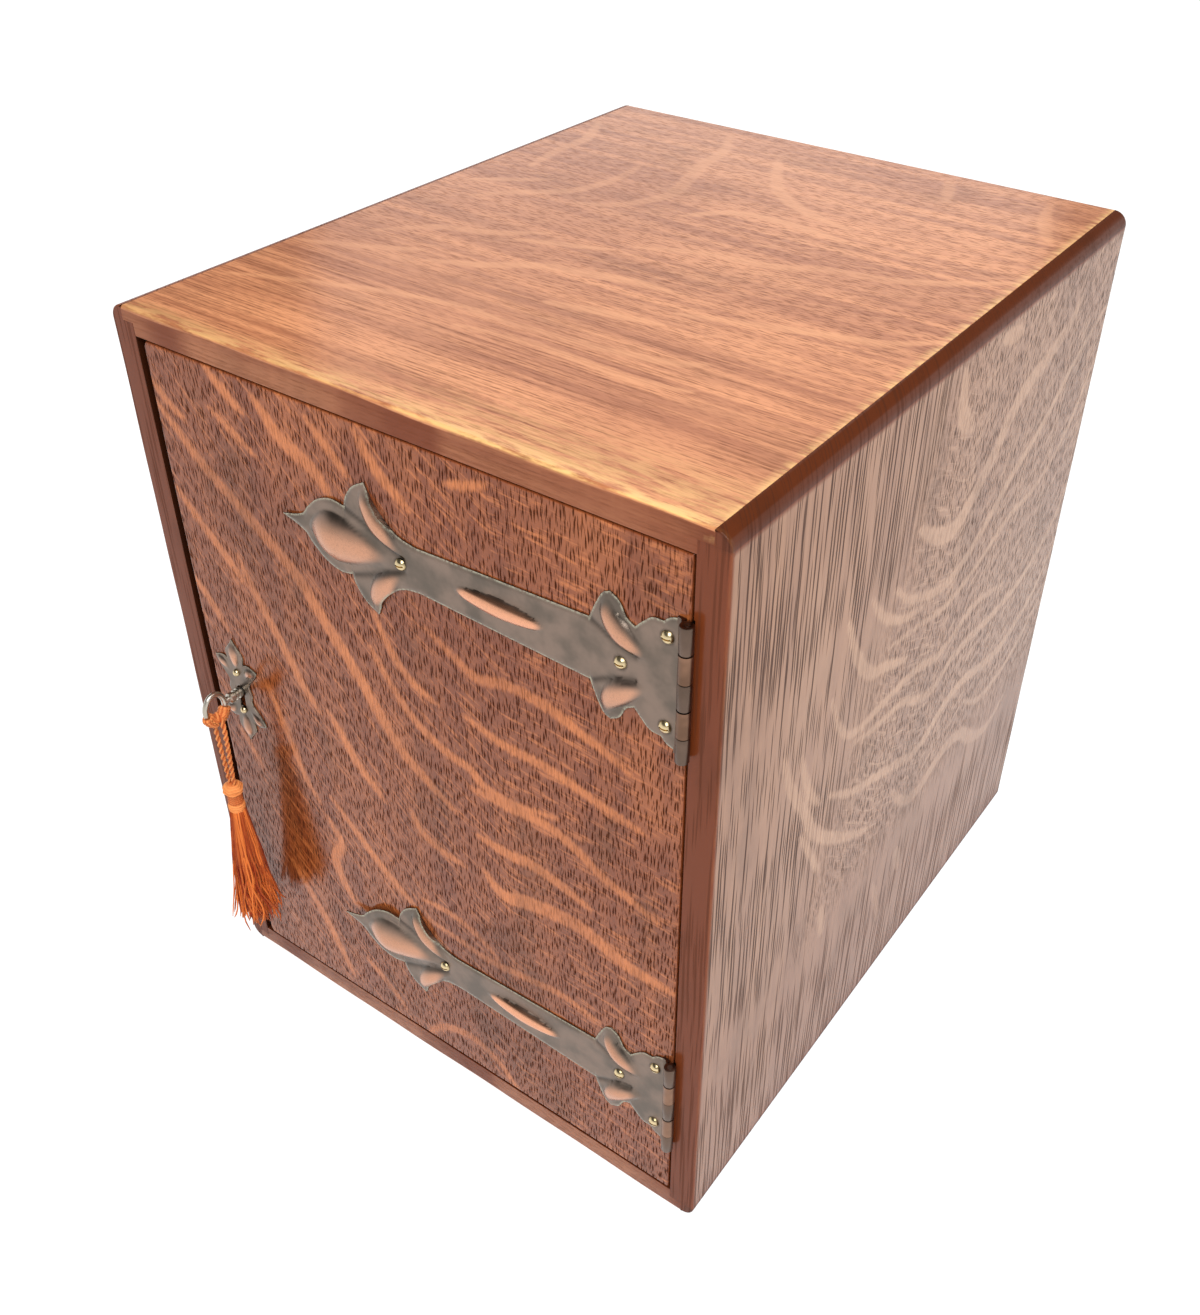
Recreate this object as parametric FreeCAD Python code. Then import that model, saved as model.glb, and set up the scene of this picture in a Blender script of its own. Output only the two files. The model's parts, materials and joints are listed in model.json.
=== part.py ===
import FreeCAD, Part
import math
import os

# A small oak tabletop cabinet with one inset door on two embossed copper strap hinges, a cupboard lock
# and a key with a tassel. Millimetres. X runs to the right, -Y to the front and Z up. The origin is the
# middle of the case's underside.

Vec = FreeCAD.Vector
left_right = Vec(1, 0, 0)
front_back = Vec(0, 1, 0)
upward = Vec(0, 0, 1)

# Case
case_width = 244.0
case_depth = 288.0
case_height = 310.0
side_thickness = 10.5
board_thickness = 9.5
tongue = 5.4            # outer part of a side, left standing at the corner joint and rounded over
lip = 5.0               # part of the top or bottom board that laps over a side
arris = 0.4             # softened edges
back_thickness = 6.0
back_clearance = 0.2
nail_radius = 0.7
nail_length = 18.0
nail_head_radius = 1.5
nail_head_height = 0.6
shelf_thickness = 8.0
shelf_height = 150.0    # underside of the shelf
shelf_setback = 30.0    # front edge of the shelf behind the front of the case
housing_depth = 3.5
stop_width = 8.0
stop_depth = 9.0
stop_clearance = 0.3

# Door
door_thickness = 12.0
door_left_gap = 3.0
door_right_gap = 1.0
door_top_gap = 0.6
door_bottom_gap = 0.5
door_corner_radius = 2.5    # worn corners of the free edge
door_arris = 0.9

# Strap hinges, measured from the hinge axis: along the strap to the left, and up from its middle
hinge_heights = {"upper": 255.0, "lower": 64.0}
axis_from_side = 0.5        # hinge axis to the left of the right side's inner face
axis_from_front = 2.6       # hinge axis before the front of the case
barrel_radius = 2.2
barrel_half = 24.4
knuckle_count = 5
knuckle_gap = 0.3
pin_radius = 0.9
pin_clearance = 0.05
strap_sheet = 0.9
strap_end = 0.6
strap_relief = 1.9          # strap cut back to here beside the case leaf's knuckles
leaf_sheet = 0.9
leaf_depth = 17.0
leaf_let_in = 0.4
leaf_screw_spread = 16.0
leaf_screw_setback = 11.0
strap_screws = ((108.0, 0.0), (23.0, 0.0), (7.2, 16.0), (7.2, -16.0))
screw_head_radius = 2.2
screw_head_height = 1.5
screw_shank_radius = 1.1
screw_length = 9.0
screw_slot = 0.6

# Lock and key
key_x = -93.4
key_z = 158.0
escutcheon_sheet = 0.8
escutcheon_pin_spread = 9.2
escutcheon_pin_radius = 1.5
escutcheon_pin_shank = 0.6
escutcheon_pin_depth = 2.0    # in the door
lock_right = 19.0           # lock beyond the key axis, away from the free edge
lock_half_height = 19.0
lock_sheet = 1.5
cap_sheet = 1.0
cap_half_height = 15.0
cap_setback = 3.0           # side of the cap, inside the lock plate's edge
pocket_depth = 9.0
bolt_thickness = 3.0
bolt_bottom = -13.0         # heights from the key axis
bolt_top = -2.7
bolt_tail = 14.0
bolt_throw = 6.5
talon_left = -2.7
talon_right = 2.5
talon_floor = -7.6
mortise_clearance = 1.5
lock_screw_head = 1.7
lock_screw_taper = 0.8
lock_screw_shank = 0.9
lock_screw_length = 7.0
mortise_depth = 8.0
shank_radius = 1.8
bead_radius = 2.15
bead_groove = 1.6
bead_ease = 0.15
neck_radius = 1.3
bore_radius = 0.95
drill_pin_radius = 0.88
bit_reach = 7.0
bit_half = 1.0
keyhole_radius = 2.4
keyhole_half = 1.5
keyhole_reach = 7.8
bow_centre = 13.5           # before the face of the door
bow_half_height = 7.2
bow_half_depth = 5.6
bow_wire = 1.1
bow_end_radius = 3.6        # middle of the wire at the top and bottom of the oval

# Tassel, heights above the surface that the case stands on
cord_radius = 1.05
cord_clearance = 0.25
strand_half_gap = 1.2
head_top = 119.0
skirt_top = 106.5
skirt_bottom = 44.0

# Places worked out from these
front = -case_depth / 2
rear = case_depth / 2
inner_x = case_width / 2 - side_thickness
tongue_x = case_width / 2 - tongue
floor_z = board_thickness
ceiling_z = case_height - board_thickness
panel_front = rear - back_thickness
door_left = -inner_x + door_left_gap
door_right = inner_x - door_right_gap
door_bottom = floor_z + door_bottom_gap
door_top = ceiling_z - door_top_gap
door_back = front + door_thickness
hinge_x = inner_x - axis_from_side
hinge_y = front - axis_from_front
bow_y = front - bow_centre
bow_low_z = key_z - bow_half_height + bow_wire


def block(x_range, y_range, z_range):
    low = Vec(x_range[0], y_range[0], z_range[0])
    return Part.makeBox(x_range[1] - low.x, y_range[1] - low.y, z_range[1] - low.z, low)


def rod(radius, start, direction, length):
    return Part.makeCylinder(radius, length, start, direction)


def spline(points):
    curve = Part.BSplineCurve()
    curve.interpolate(points)
    return curve.toShape()


def polyline(points):
    return [Part.makeLine(a, b) for a, b in zip(points, points[1:])]


def revolved(edges, base, direction):
    return Part.Face(Part.Wire(edges)).revolve(base, direction, 360)


def mirrored_x(shape):
    return shape.mirror(Vec(0, 0, 0), left_right)


def eased(shape, radius, picked):
    edges = [edge for edge in shape.Edges if picked(edge)]
    return shape.makeFillet(radius, edges)


def edge_on_plane(axis, value):
    def picked(edge):
        return all(abs(getattr(v.Point, axis) - value) < 1e-6 for v in edge.Vertexes)
    return picked


def save(name, shape):
    solids = shape.Solids
    print(name, "solids", len(solids), "valid", shape.isValid(), "volume", round(shape.Volume, 1))
    shape.exportStep("parts/" + name + ".step")


# Nails of the back panel: four up each side, two along the top and two along the bottom
def nail_places():
    side_line = (inner_x + tongue_x) / 2
    top_line = (lip + board_thickness) / 2
    places = []
    for z in (26.0, 112.0, 198.0, 284.0):
        places += [(-side_line, z), (side_line, z)]
    for x in (-55.0, 55.0):
        places += [(x, top_line), (x, case_height - top_line)]
    return places


def nail(x, z):
    head = rod(nail_head_radius, Vec(x, rear, z), front_back, nail_head_height)
    shank_length = nail_length - 2 * nail_radius
    shank = rod(nail_radius, Vec(x, rear, z), -front_back, shank_length)
    point = Part.makeCone(nail_radius, 0, 2 * nail_radius, Vec(x, rear - shank_length, z), -front_back)
    return head.fuse([shank, point]).removeSplitter()


nails = [nail(x, z) for x, z in nail_places()]


# Right side: its outer tongue stands past the rebates that take the top and bottom boards
def right_side_blank():
    outer = case_width / 2
    lean = tongue * (1 - math.sqrt(0.5))
    low_arc = Part.Arc(Vec(tongue_x, front, 0), Vec(outer - lean, front, lean), Vec(outer, front, tongue))
    high = case_height
    high_arc = Part.Arc(Vec(outer, front, high - tongue), Vec(outer - lean, front, high - lean),
                        Vec(tongue_x, front, high))
    straight = polyline([Vec(tongue_x, front, high), Vec(tongue_x, front, high - lip),
                         Vec(inner_x, front, high - lip), Vec(inner_x, front, lip),
                         Vec(tongue_x, front, lip), Vec(tongue_x, front, 0)])
    flank = Part.makeLine(Vec(outer, front, tongue), Vec(outer, front, high - tongue))
    outline = Part.Wire([low_arc.toShape(), flank, high_arc.toShape()] + straight)
    board = Part.Face(outline).extrude(Vec(0, case_depth, 0))
    board = eased(board, arris, edge_on_plane("y", front))
    rebate = block((inner_x, tongue_x), (panel_front, rear), (lip, high - lip))
    housing = block((inner_x, inner_x + housing_depth), (front + shelf_setback, panel_front),
                    (shelf_height, shelf_height + shelf_thickness))
    return board.cut([rebate, housing])


# Top board: full between the sides, with a lip at each end; the bottom board is the same, turned over
def top_board_blank():
    high = case_height
    outline = [Vec(-tongue_x, front, high), Vec(tongue_x, front, high), Vec(tongue_x, front, high - lip),
               Vec(inner_x, front, high - lip), Vec(inner_x, front, ceiling_z),
               Vec(-inner_x, front, ceiling_z), Vec(-inner_x, front, high - lip),
               Vec(-tongue_x, front, high - lip), Vec(-tongue_x, front, high)]
    board = Part.Face(Part.Wire(polyline(outline))).extrude(Vec(0, case_depth, 0))
    board = eased(board, arris, edge_on_plane("y", front))
    return board.cut(block((-inner_x, inner_x), (panel_front, rear), (ceiling_z, high - lip)))


def turned_over(shape):
    return shape.mirror(Vec(0, 0, case_height / 2), upward)


# Case leaf of a hinge: a plate let into the side, with the second and fourth knuckles
knuckle_pitch = 2 * barrel_half / knuckle_count
case_knuckles = (1, 3)
door_knuckles = (0, 2, 4)


def knuckle_span(index):
    low = -barrel_half + index * knuckle_pitch
    return low + knuckle_gap / 2, low + knuckle_pitch - knuckle_gap / 2


def knuckle(index, middle):
    low, high = knuckle_span(index)
    return rod(barrel_radius, Vec(hinge_x, hinge_y, middle + low), upward, high - low)


leaf_face = inner_x + leaf_let_in - leaf_sheet


def leaf_gain(middle):
    return block((inner_x, inner_x + leaf_let_in), (front, front + leaf_depth),
                 (middle - barrel_half, middle + barrel_half))


def leaf_screw(z):
    start = Vec(leaf_face + 0.1, front + leaf_screw_setback, z)
    taper = screw_head_radius - screw_shank_radius
    head = Part.makeCone(screw_head_radius, screw_shank_radius, taper, start, left_right)
    shank = rod(screw_shank_radius, start + Vec(taper, 0, 0), left_right, screw_length - taper - 1.0)
    slot = block((start.x, start.x + 0.5), (start.y - screw_slot / 2, start.y + screw_slot / 2),
                 (z - screw_head_radius, z + screw_head_radius))
    return head.fuse(shank).cut(slot).removeSplitter()


def leaf_screw_hole(z):
    start = Vec(leaf_face + 0.1, front + leaf_screw_setback, z)
    taper = screw_head_radius - screw_shank_radius
    mouth = rod(screw_head_radius, Vec(leaf_face - 0.1, start.y, z), left_right, 0.2)
    sink = Part.makeCone(screw_head_radius, screw_shank_radius, taper, start, left_right)
    pilot = rod(screw_shank_radius, start + Vec(taper, 0, 0), left_right, screw_length - taper - 1.0)
    return mouth.fuse([sink, pilot])


def leaf_screw_heights(middle):
    return [middle + step * leaf_screw_spread for step in (-1, 0, 1)]


def case_leaf(middle):
    plate = block((leaf_face, leaf_face + leaf_sheet), (front, front + leaf_depth),
                  (middle - barrel_half, middle + barrel_half))
    pieces = []
    for index in case_knuckles:
        low, high = knuckle_span(index)
        pieces.append(knuckle(index, middle))
        pieces.append(block((leaf_face, leaf_face + leaf_sheet), (hinge_y, front),
                            (middle + low, middle + high)))
    leaf = plate.fuse(pieces)
    bore = rod(pin_radius, Vec(hinge_x, hinge_y, middle - barrel_half), upward, 2 * barrel_half)
    return leaf.cut([bore] + [leaf_screw_hole(z) for z in leaf_screw_heights(middle)]).removeSplitter()


def hinge_pin(middle):
    return rod(pin_radius, Vec(hinge_x, hinge_y, middle - barrel_half), upward, 2 * barrel_half)


# Strap leaf. Its half outline runs from the point along the upper edge to the barrel, and the lower edge
# mirrors it. A place on the strap is its distance from the hinge axis and its height from the middle.
strap_edge = (
    ((160.3, 0.0), (155.0, 1.6), (150.6, 3.6), (147.6, 7.2), (142.5, 11.6), (136.5, 13.7), (131.0, 13.0)),
    ((131.0, 13.0), (129.4, 17.4), (126.0, 21.8), (120.8, 25.0)),
    ((120.8, 25.0), (118.0, 18.8), (112.8, 12.8), (107.4, 9.7), (101.0, 8.5)),
    ((101.0, 8.5), (34.3, 11.3)),
    ((34.3, 11.3), (32.2, 16.4), (29.6, 21.4), (27.0, 23.0)),
    ((27.0, 23.0), (23.6, 20.8), (21.2, 16.4), (18.4, 14.5)),
    ((18.4, 14.5), (15.6, 17.6), (12.6, 20.2), (8.8, 20.6)),
    ((8.8, 20.6), (7.0, 22.4), (4.4, 23.4), (strap_end, 23.6)),
)

# Embossed forms: each is a run of round sections, its centres sunk below the face of the sheet, as
# (distance along the strap, height from the middle, height of the crest)
bulb_sink = 9.5
bulb_crest = ((148.5, -0.3), (146.0, 0.7), (141.0, 3.1), (136.0, 4.0), (129.0, 3.1), (120.0, 1.4),
              (108.5, -0.2))
spindle_sink = 1.5
spindle_span = (47.5, 88.5)
spindle_crest = 2.4
petal_sink = 3.0
front_petal = ((106.5, 3.6, 0.1), (111.5, 6.8, 1.3), (116.4, 11.8, 2.3), (120.0, 17.4, 1.7),
               (121.6, 22.4, 0.1))
rear_petal = ((13.5, 5.6, 0.1), (18.0, 7.6, 1.4), (23.2, 10.8, 2.3), (26.8, 15.4, 1.7), (27.8, 20.6, 0.1))


def on_strap(along, up, proud=0.0):
    return Vec(-along, -strap_sheet - proud, up)


def strap_sheet_blank():
    def flat(points, sign):
        return [Vec(-along, 0, sign * up) for along, up in points]
    upper = [spline(flat(run, 1)) for run in strap_edge]
    lower = [spline(flat(run, -1)) for run in strap_edge]
    end_half = strap_edge[-1][-1][1]
    end = Part.makeLine(Vec(-strap_end, 0, end_half), Vec(-strap_end, 0, -end_half))
    outline = Part.Wire(Part.__sortEdges__(upper + lower + [end]))
    return Part.Face(outline).extrude(Vec(0, -strap_sheet, 0))


def proud_only(shape):
    reach = block((-165, 0), (-12, -strap_sheet / 2), (-30, 30))
    return shape.common(reach)


def bulb():
    crest = spline([on_strap(along, bulb_sink + rise, -bulb_sink) for along, rise in bulb_crest])
    first = on_strap(bulb_crest[0][0], 0, -bulb_sink)
    last = on_strap(bulb_crest[-1][0], 0, -bulb_sink)
    ends = [crest.valueAt(crest.FirstParameter), crest.valueAt(crest.LastParameter)]
    closing = [Part.makeLine(ends[1], last), Part.makeLine(last, first), Part.makeLine(first, ends[0])]
    return proud_only(revolved([crest] + closing, first, left_right))


def spindle():
    start, stop = spindle_span
    first = on_strap(stop, 0, -spindle_sink)
    last = on_strap(start, 0, -spindle_sink)
    top = on_strap((start + stop) / 2, spindle_sink + spindle_crest, -spindle_sink)
    arc = Part.Arc(first, top, last).toShape()
    return proud_only(revolved([arc, Part.makeLine(last, first)], first, left_right))


def petal(ridge, sign):
    centres = [on_strap(along, sign * up, -petal_sink) for along, up, rise in ridge]
    path = Part.BSplineCurve()
    path.interpolate(centres)
    rings = []
    for centre, (along, up, rise) in zip(centres, ridge):
        tangent = path.tangent(path.parameter(centre))[0]
        rings.append(Part.Wire(Part.Circle(centre, tangent, petal_sink + rise).toShape()))
    return proud_only(Part.makeLoft(rings, True))


def strap_leaf():
    raised = [bulb(), spindle()]
    for ridge in (front_petal, rear_petal):
        raised += [petal(ridge, 1), petal(ridge, -1)]
    sheet = strap_sheet_blank().fuse(raised)
    cuts = []
    for index in case_knuckles:
        low, high = knuckle_span(index)
        cuts.append(block((-strap_relief, 0), (-strap_sheet, 0), (low - knuckle_gap, high + knuckle_gap)))
    for along, up in strap_screws:
        cuts.append(rod(screw_shank_radius, Vec(-along, 0, up), -front_back, 10))
        cuts.append(rod(screw_head_radius, Vec(-along, -strap_sheet, up), -front_back, 10))
    sheet = sheet.cut(cuts)
    barrel = []
    for index in door_knuckles:
        low, high = knuckle_span(index)
        barrel.append(rod(barrel_radius, Vec(0, -axis_from_front, low), upward, high - low))
    bore = rod(pin_radius + pin_clearance, Vec(0, -axis_from_front, -barrel_half), upward, 2 * barrel_half)
    return sheet.fuse(barrel).cut(bore).removeSplitter()


def strap_screw(along, up):
    seat = Vec(hinge_x - along, front - strap_sheet, up)
    sagitta = screw_head_height
    ball = (screw_head_radius ** 2 + sagitta ** 2) / (2 * sagitta)
    dome = Part.makeSphere(ball, seat + Vec(0, ball - sagitta, 0))
    dome = dome.common(rod(screw_head_radius, seat, -front_back, 2 * sagitta))
    slot = block((seat.x - screw_head_radius, seat.x + screw_head_radius),
                 (seat.y - sagitta, seat.y - sagitta / 2), (up - screw_slot / 2, up + screw_slot / 2))
    shank = rod(screw_shank_radius, seat, front_back, screw_length)
    return dome.fuse(shank).cut(slot).removeSplitter()


def strap_screw_hole(along, up, middle):
    mouth = Vec(hinge_x - along, front, middle + up)
    return rod(screw_shank_radius, mouth, front_back, screw_length - strap_sheet)


# Keyhole: a round hole with a slot below it, right through one sheet or board
def keyhole(y_range):
    low, high = y_range
    hole = rod(keyhole_radius, Vec(key_x, low, key_z), front_back, high - low)
    slot = block((key_x - keyhole_half, key_x + keyhole_half), (low, high), (key_z - keyhole_reach, key_z))
    return hole.fuse(slot)


# Escutcheon: a quarter outline of pointed petal, side petal and bracketed waist, mirrored both ways
escutcheon_edge = (
    ((0.0, 25.0), (1.6, 22.4), (4.7, 18.6)),
    ((4.7, 18.6), (4.5, 16.2), (3.9, 14.2)),
    ((3.9, 14.2), (7.2, 14.9), (11.4, 13.4)),
    ((11.4, 13.4), (9.4, 9.6), (5.6, 4.6), (6.4, 0.0)),
)
escutcheon_petal_sink = 3.0
escutcheon_tip_crest = ((23.6, -0.1), (19.0, 1.0), (14.5, 0.7), (11.0, -0.1))
escutcheon_wing = ((4.4, 9.0, 0.05), (7.4, 11.8, 0.7), (10.0, 13.0, 0.05))


def on_escutcheon(across, up, proud=0.0):
    return Vec(key_x + across, front - escutcheon_sheet - proud, key_z + up)


def escutcheon_wing_form(side, end):
    places = [on_escutcheon(side * across, end * up, -escutcheon_petal_sink)
              for across, up, rise in escutcheon_wing]
    tangent = places[-1] - places[0]
    rings = []
    for place, (across, up, rise) in zip(places, escutcheon_wing):
        rings.append(Part.Wire(Part.Circle(place, tangent, escutcheon_petal_sink + rise).toShape()))
    return Part.makeLoft(rings, True)


def escutcheon_tip_form(end):
    sink = escutcheon_petal_sink
    crest = spline([on_escutcheon(sink + rise, end * up, -sink) for up, rise in escutcheon_tip_crest])
    first = on_escutcheon(0, end * escutcheon_tip_crest[0][0], -sink)
    last = on_escutcheon(0, end * escutcheon_tip_crest[-1][0], -sink)
    ends = [crest.valueAt(crest.FirstParameter), crest.valueAt(crest.LastParameter)]
    closing = [Part.makeLine(ends[1], last), Part.makeLine(last, first), Part.makeLine(first, ends[0])]
    return revolved([crest] + closing, first, upward)


def escutcheon():
    edges = []
    for side in (-1, 1):
        for end in (-1, 1):
            for run in escutcheon_edge:
                edges.append(spline([Vec(key_x + side * x, front, key_z + end * z) for x, z in run]))
    plate = Part.Face(Part.Wire(Part.__sortEdges__(edges))).extrude(Vec(0, -escutcheon_sheet, 0))
    raised = [escutcheon_tip_form(end) for end in (-1, 1)]
    raised += [escutcheon_wing_form(side, end) for side in (-1, 1) for end in (-1, 1)]
    reach = block((key_x - 20, key_x + 20), (front - 5, front - escutcheon_sheet / 2),
                  (key_z - 30, key_z + 30))
    plate = plate.fuse([form.common(reach) for form in raised])
    cuts = [keyhole((front - 6, front))]
    for end in (-1, 1):
        place = Vec(key_x, front, key_z + end * escutcheon_pin_spread)
        cuts.append(rod(escutcheon_pin_shank, place, -front_back, 5))
        cuts.append(rod(escutcheon_pin_radius, place - Vec(0, escutcheon_sheet, 0), -front_back, 5))
    return plate.cut(cuts).removeSplitter()


def escutcheon_pin(end):
    seat = Vec(key_x, front - escutcheon_sheet, key_z + end * escutcheon_pin_spread)
    dome = Part.makeSphere(escutcheon_pin_radius, seat)
    dome = dome.cut(block((seat.x - 3, seat.x + 3), (seat.y, seat.y + 3), (seat.z - 3, seat.z + 3)))
    shank = rod(escutcheon_pin_shank, seat, front_back, escutcheon_sheet + escutcheon_pin_depth)
    return dome.fuse(shank).removeSplitter()


# Lock, let into the back of the door at its free edge. Depths are from the front of the door.
lock_back = door_back
lock_x = (door_left, key_x + lock_right)
lock_z = (key_z - lock_half_height, key_z + lock_half_height)
pocket_front = door_back - pocket_depth
cap_x = (door_left + lock_sheet, key_x + lock_right - cap_setback)
cap_z = (key_z - cap_half_height, key_z + cap_half_height)
bolt_y = (lock_back - lock_sheet - 0.25 - bolt_thickness, lock_back - lock_sheet - 0.25)
bolt_x = (door_left, key_x + bolt_tail)
bolt_z = (key_z + bolt_bottom, key_z + bolt_top)
stud_x = key_x + 4.2
stud_z = (bolt_z[0] + key_z + talon_floor) / 2
stud_radius = 1.2
lock_screw_places = [(x, key_z + end * (lock_half_height - 2.0))
                     for x in (door_left + 6, key_x + lock_right - 4) for end in (-1, 1)]


def lock_screw_sink(x, z):
    at = Vec(x, lock_back, z)
    return Part.makeCone(lock_screw_head, lock_screw_shank, lock_screw_taper, at, -front_back)


def lock_plate():
    face = block(lock_x, (lock_back - lock_sheet, lock_back), lock_z)
    edge = block((door_left, door_left + lock_sheet), (pocket_front, lock_back), lock_z)
    stud = rod(stud_radius, Vec(stud_x, bolt_y[0], stud_z), front_back, lock_back - lock_sheet - bolt_y[0])
    play = 0.25
    window = block((door_left - 1, door_left + lock_sheet + 1), (bolt_y[0] - play, lock_back - lock_sheet),
                   (bolt_z[0] - play, bolt_z[1] + play))
    plate = face.fuse([edge, stud]).cut(window)
    cuts = [rod(drill_pin_radius, Vec(key_x, lock_back, key_z), -front_back, lock_sheet)]
    for x, z in lock_screw_places:
        hole = rod(lock_screw_shank, Vec(x, lock_back, z), -front_back, lock_sheet)
        cuts += [lock_screw_sink(x, z), hole]
    return plate.cut(cuts).removeSplitter()


def lock_cap():
    back = lock_back - lock_sheet
    tray = block(cap_x, (pocket_front, back), cap_z)
    room = block((cap_x[0] - 1, cap_x[1] - cap_sheet), (pocket_front + cap_sheet, back + 1),
                 (cap_z[0] + cap_sheet, cap_z[1] - cap_sheet))
    return tray.cut([room, keyhole((pocket_front - 1, pocket_front + cap_sheet + 0.1))])


def lock_screw(x, z):
    shank = rod(lock_screw_shank, Vec(x, lock_back, z), -front_back, lock_screw_length)
    slot_x = (x - lock_screw_head, x + lock_screw_head)
    slot = block(slot_x, (lock_back - 0.4, lock_back), (z - 0.25, z + 0.25))
    return lock_screw_sink(x, z).fuse(shank).cut(slot).removeSplitter()


def lock_bolt():
    bar = block(bolt_x, bolt_y, bolt_z)
    talon = block((key_x + talon_left, key_x + talon_right), bolt_y, (key_z + talon_floor, bolt_z[1]))
    play = 0.3
    guide_half = stud_radius + play
    guide_ends = [Vec(stud_x + shift, bolt_y[0], stud_z) for shift in (0, bolt_throw)]
    guide = [rod(guide_half, place, front_back, bolt_thickness) for place in guide_ends]
    guide.append(block((stud_x, stud_x + bolt_throw), bolt_y, (stud_z - guide_half, stud_z + guide_half)))
    return bar.cut([talon] + guide)


def drill_pin():
    tip = pocket_front + cap_sheet + 0.5
    return rod(drill_pin_radius, Vec(key_x, tip, key_z), front_back, lock_back - tip)


# Bolt spring: a bowed strip that bears on the tail of the bolt, with a foot up the side of the lock cap
def bolt_spring():
    strip = 0.4
    wall = cap_x[1] - cap_sheet
    centre = Vec(key_x + 6.0, bolt_y[0], key_z + 9.0)
    outer = centre.z - (bolt_z[1] + 0.3)
    turns = (math.radians(-104), -math.acos((wall - centre.x) / outer))
    def bowed(radius):
        ends = (turns[0], sum(turns) / 2, turns[1])
        points = [centre + Vec(radius * math.cos(a), 0, radius * math.sin(a)) for a in ends]
        return Part.Arc(*points).toShape()
    lower = bowed(outer)
    upper = bowed(outer - strip)
    ends = [Part.makeLine(a.Point, b.Point) for a, b in zip(lower.Vertexes, upper.Vertexes)]
    strip_face = Part.Face(Part.Wire(Part.__sortEdges__([lower, upper] + ends)))
    foot_bottom = centre.z + outer * math.sin(turns[1])
    foot = block((wall - strip, wall), bolt_y, (foot_bottom, cap_z[1] - cap_sheet))
    return strip_face.extrude(Vec(0, bolt_thickness, 0)).fuse(foot).removeSplitter()


# Bow of the key: an oval of four tangent arcs in the plane of the bit, each a turn of round wire
def key_bow():
    half_depth = bow_half_depth - bow_wire
    end_rise = bow_half_height - bow_wire - bow_end_radius
    reach = half_depth ** 2 + end_rise ** 2 - bow_end_radius ** 2
    flank_radius = reach / 2 / (half_depth - bow_end_radius)
    flank_shift = flank_radius - half_depth
    flank_turn = math.degrees(math.atan2(end_rise, flank_shift))
    arcs = ((-flank_shift, 0, flank_radius, -flank_turn, flank_turn),
            (0, end_rise, bow_end_radius, flank_turn, 180 - flank_turn),
            (flank_shift, 0, flank_radius, 180 - flank_turn, 180 + flank_turn),
            (0, -end_rise, bow_end_radius, 180 + flank_turn, 360 - flank_turn))
    turns = []
    for forward, rise, radius, start, stop in arcs:
        centre = Vec(key_x, bow_y + forward, key_z + rise)
        outward = Vec(0, math.cos(math.radians(start)), math.sin(math.radians(start)))
        section = Part.Circle(centre + outward * radius, left_right.cross(outward), bow_wire)
        turns.append(Part.Face(Part.Wire(section.toShape())).revolve(centre, left_right, stop - start))
    return turns


# Key: a hollow shank with turned beads, a bit, and an oval bow of round wire in the plane of the bit
def key():
    collar_end = bow_centre - bow_half_depth + bow_wire
    tip = door_back - lock_sheet - 0.3
    bead_steps = (1.2, 2.6, 3.3, 4.0, 4.7, 6.6)
    radii = (bead_radius, bead_groove, bead_radius, bead_groove, bead_radius)
    outline = [Vec(key_x, tip, key_z), Vec(key_x + shank_radius, tip, key_z)]
    outline.append(Vec(key_x + shank_radius, front - bead_steps[0], key_z))
    for radius, start, stop in zip(radii, bead_steps, bead_steps[1:]):
        outline.append(Vec(key_x + radius, front - start - bead_ease, key_z))
        outline.append(Vec(key_x + radius, front - stop + bead_ease, key_z))
    outline.append(Vec(key_x + neck_radius, front - bead_steps[-1] - 2 * bead_ease, key_z))
    outline.append(Vec(key_x + bow_wire, front - collar_end, key_z))
    outline.append(Vec(key_x, front - collar_end, key_z))
    outline.append(outline[0])
    shank = revolved(polyline(outline), Vec(key_x, front, key_z), front_back)
    bore = rod(bore_radius, Vec(key_x, pocket_front, key_z), front_back, tip - pocket_front)
    bit_y = (pocket_front + cap_sheet + 0.6, tip - 0.4)
    bit = block((key_x - bit_half, key_x + bit_half), bit_y, (key_z - bit_reach, key_z))
    ward = block((key_x - 2, key_x + 2), (bit_y[0] + 1.6, bit_y[0] + 2.5),
                 (key_z - bit_reach, key_z - 4.6))
    return shank.fuse([bit.cut(ward)] + key_bow()).cut(bore).removeSplitter()


# Tassel cord: one loop over the bow's wire, with both strands going down into the tassel's head
def tassel_cord():
    loop = bow_wire + cord_clearance + cord_radius
    drop = bow_low_z - head_top
    reach = math.hypot(strand_half_gap, drop)
    lean = math.asin(loop / reach) - math.asin(strand_half_gap / reach)
    foot_drop = 2.0
    touch = Vec(loop * math.cos(lean), 0, -loop * math.sin(lean))
    ring_centre = Vec(key_x, bow_y, bow_low_z)
    down = Vec(-math.sin(lean), 0, -math.cos(lean))
    run = (drop + touch.z + foot_drop) / math.cos(lean)
    right_touch = ring_centre + touch
    left_touch = ring_centre + Vec(-touch.x, 0, touch.z)
    right_foot = right_touch + down * run
    left_foot = left_touch + Vec(-down.x, 0, down.z) * run
    over = Part.Arc(right_touch, ring_centre + Vec(0, 0, loop), left_touch).toShape()
    path = Part.Wire([Part.makeLine(right_foot, right_touch), over, Part.makeLine(left_touch, left_foot)])
    section = Part.Wire(Part.Circle(right_foot, down, cord_radius).toShape())
    tube = path.makePipeShell([section], True, False)
    expected = math.pi * cord_radius ** 2 * path.Length
    print("tassel cord loop radius", round(loop, 2), "path", round(path.Length, 1),
          "volume over section times length", round(tube.Volume / expected, 4))
    below = block((key_x - 10, key_x + 10), (bow_y - 10, bow_y + 10), (head_top - 10, head_top))
    return tube.cut(below)


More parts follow.
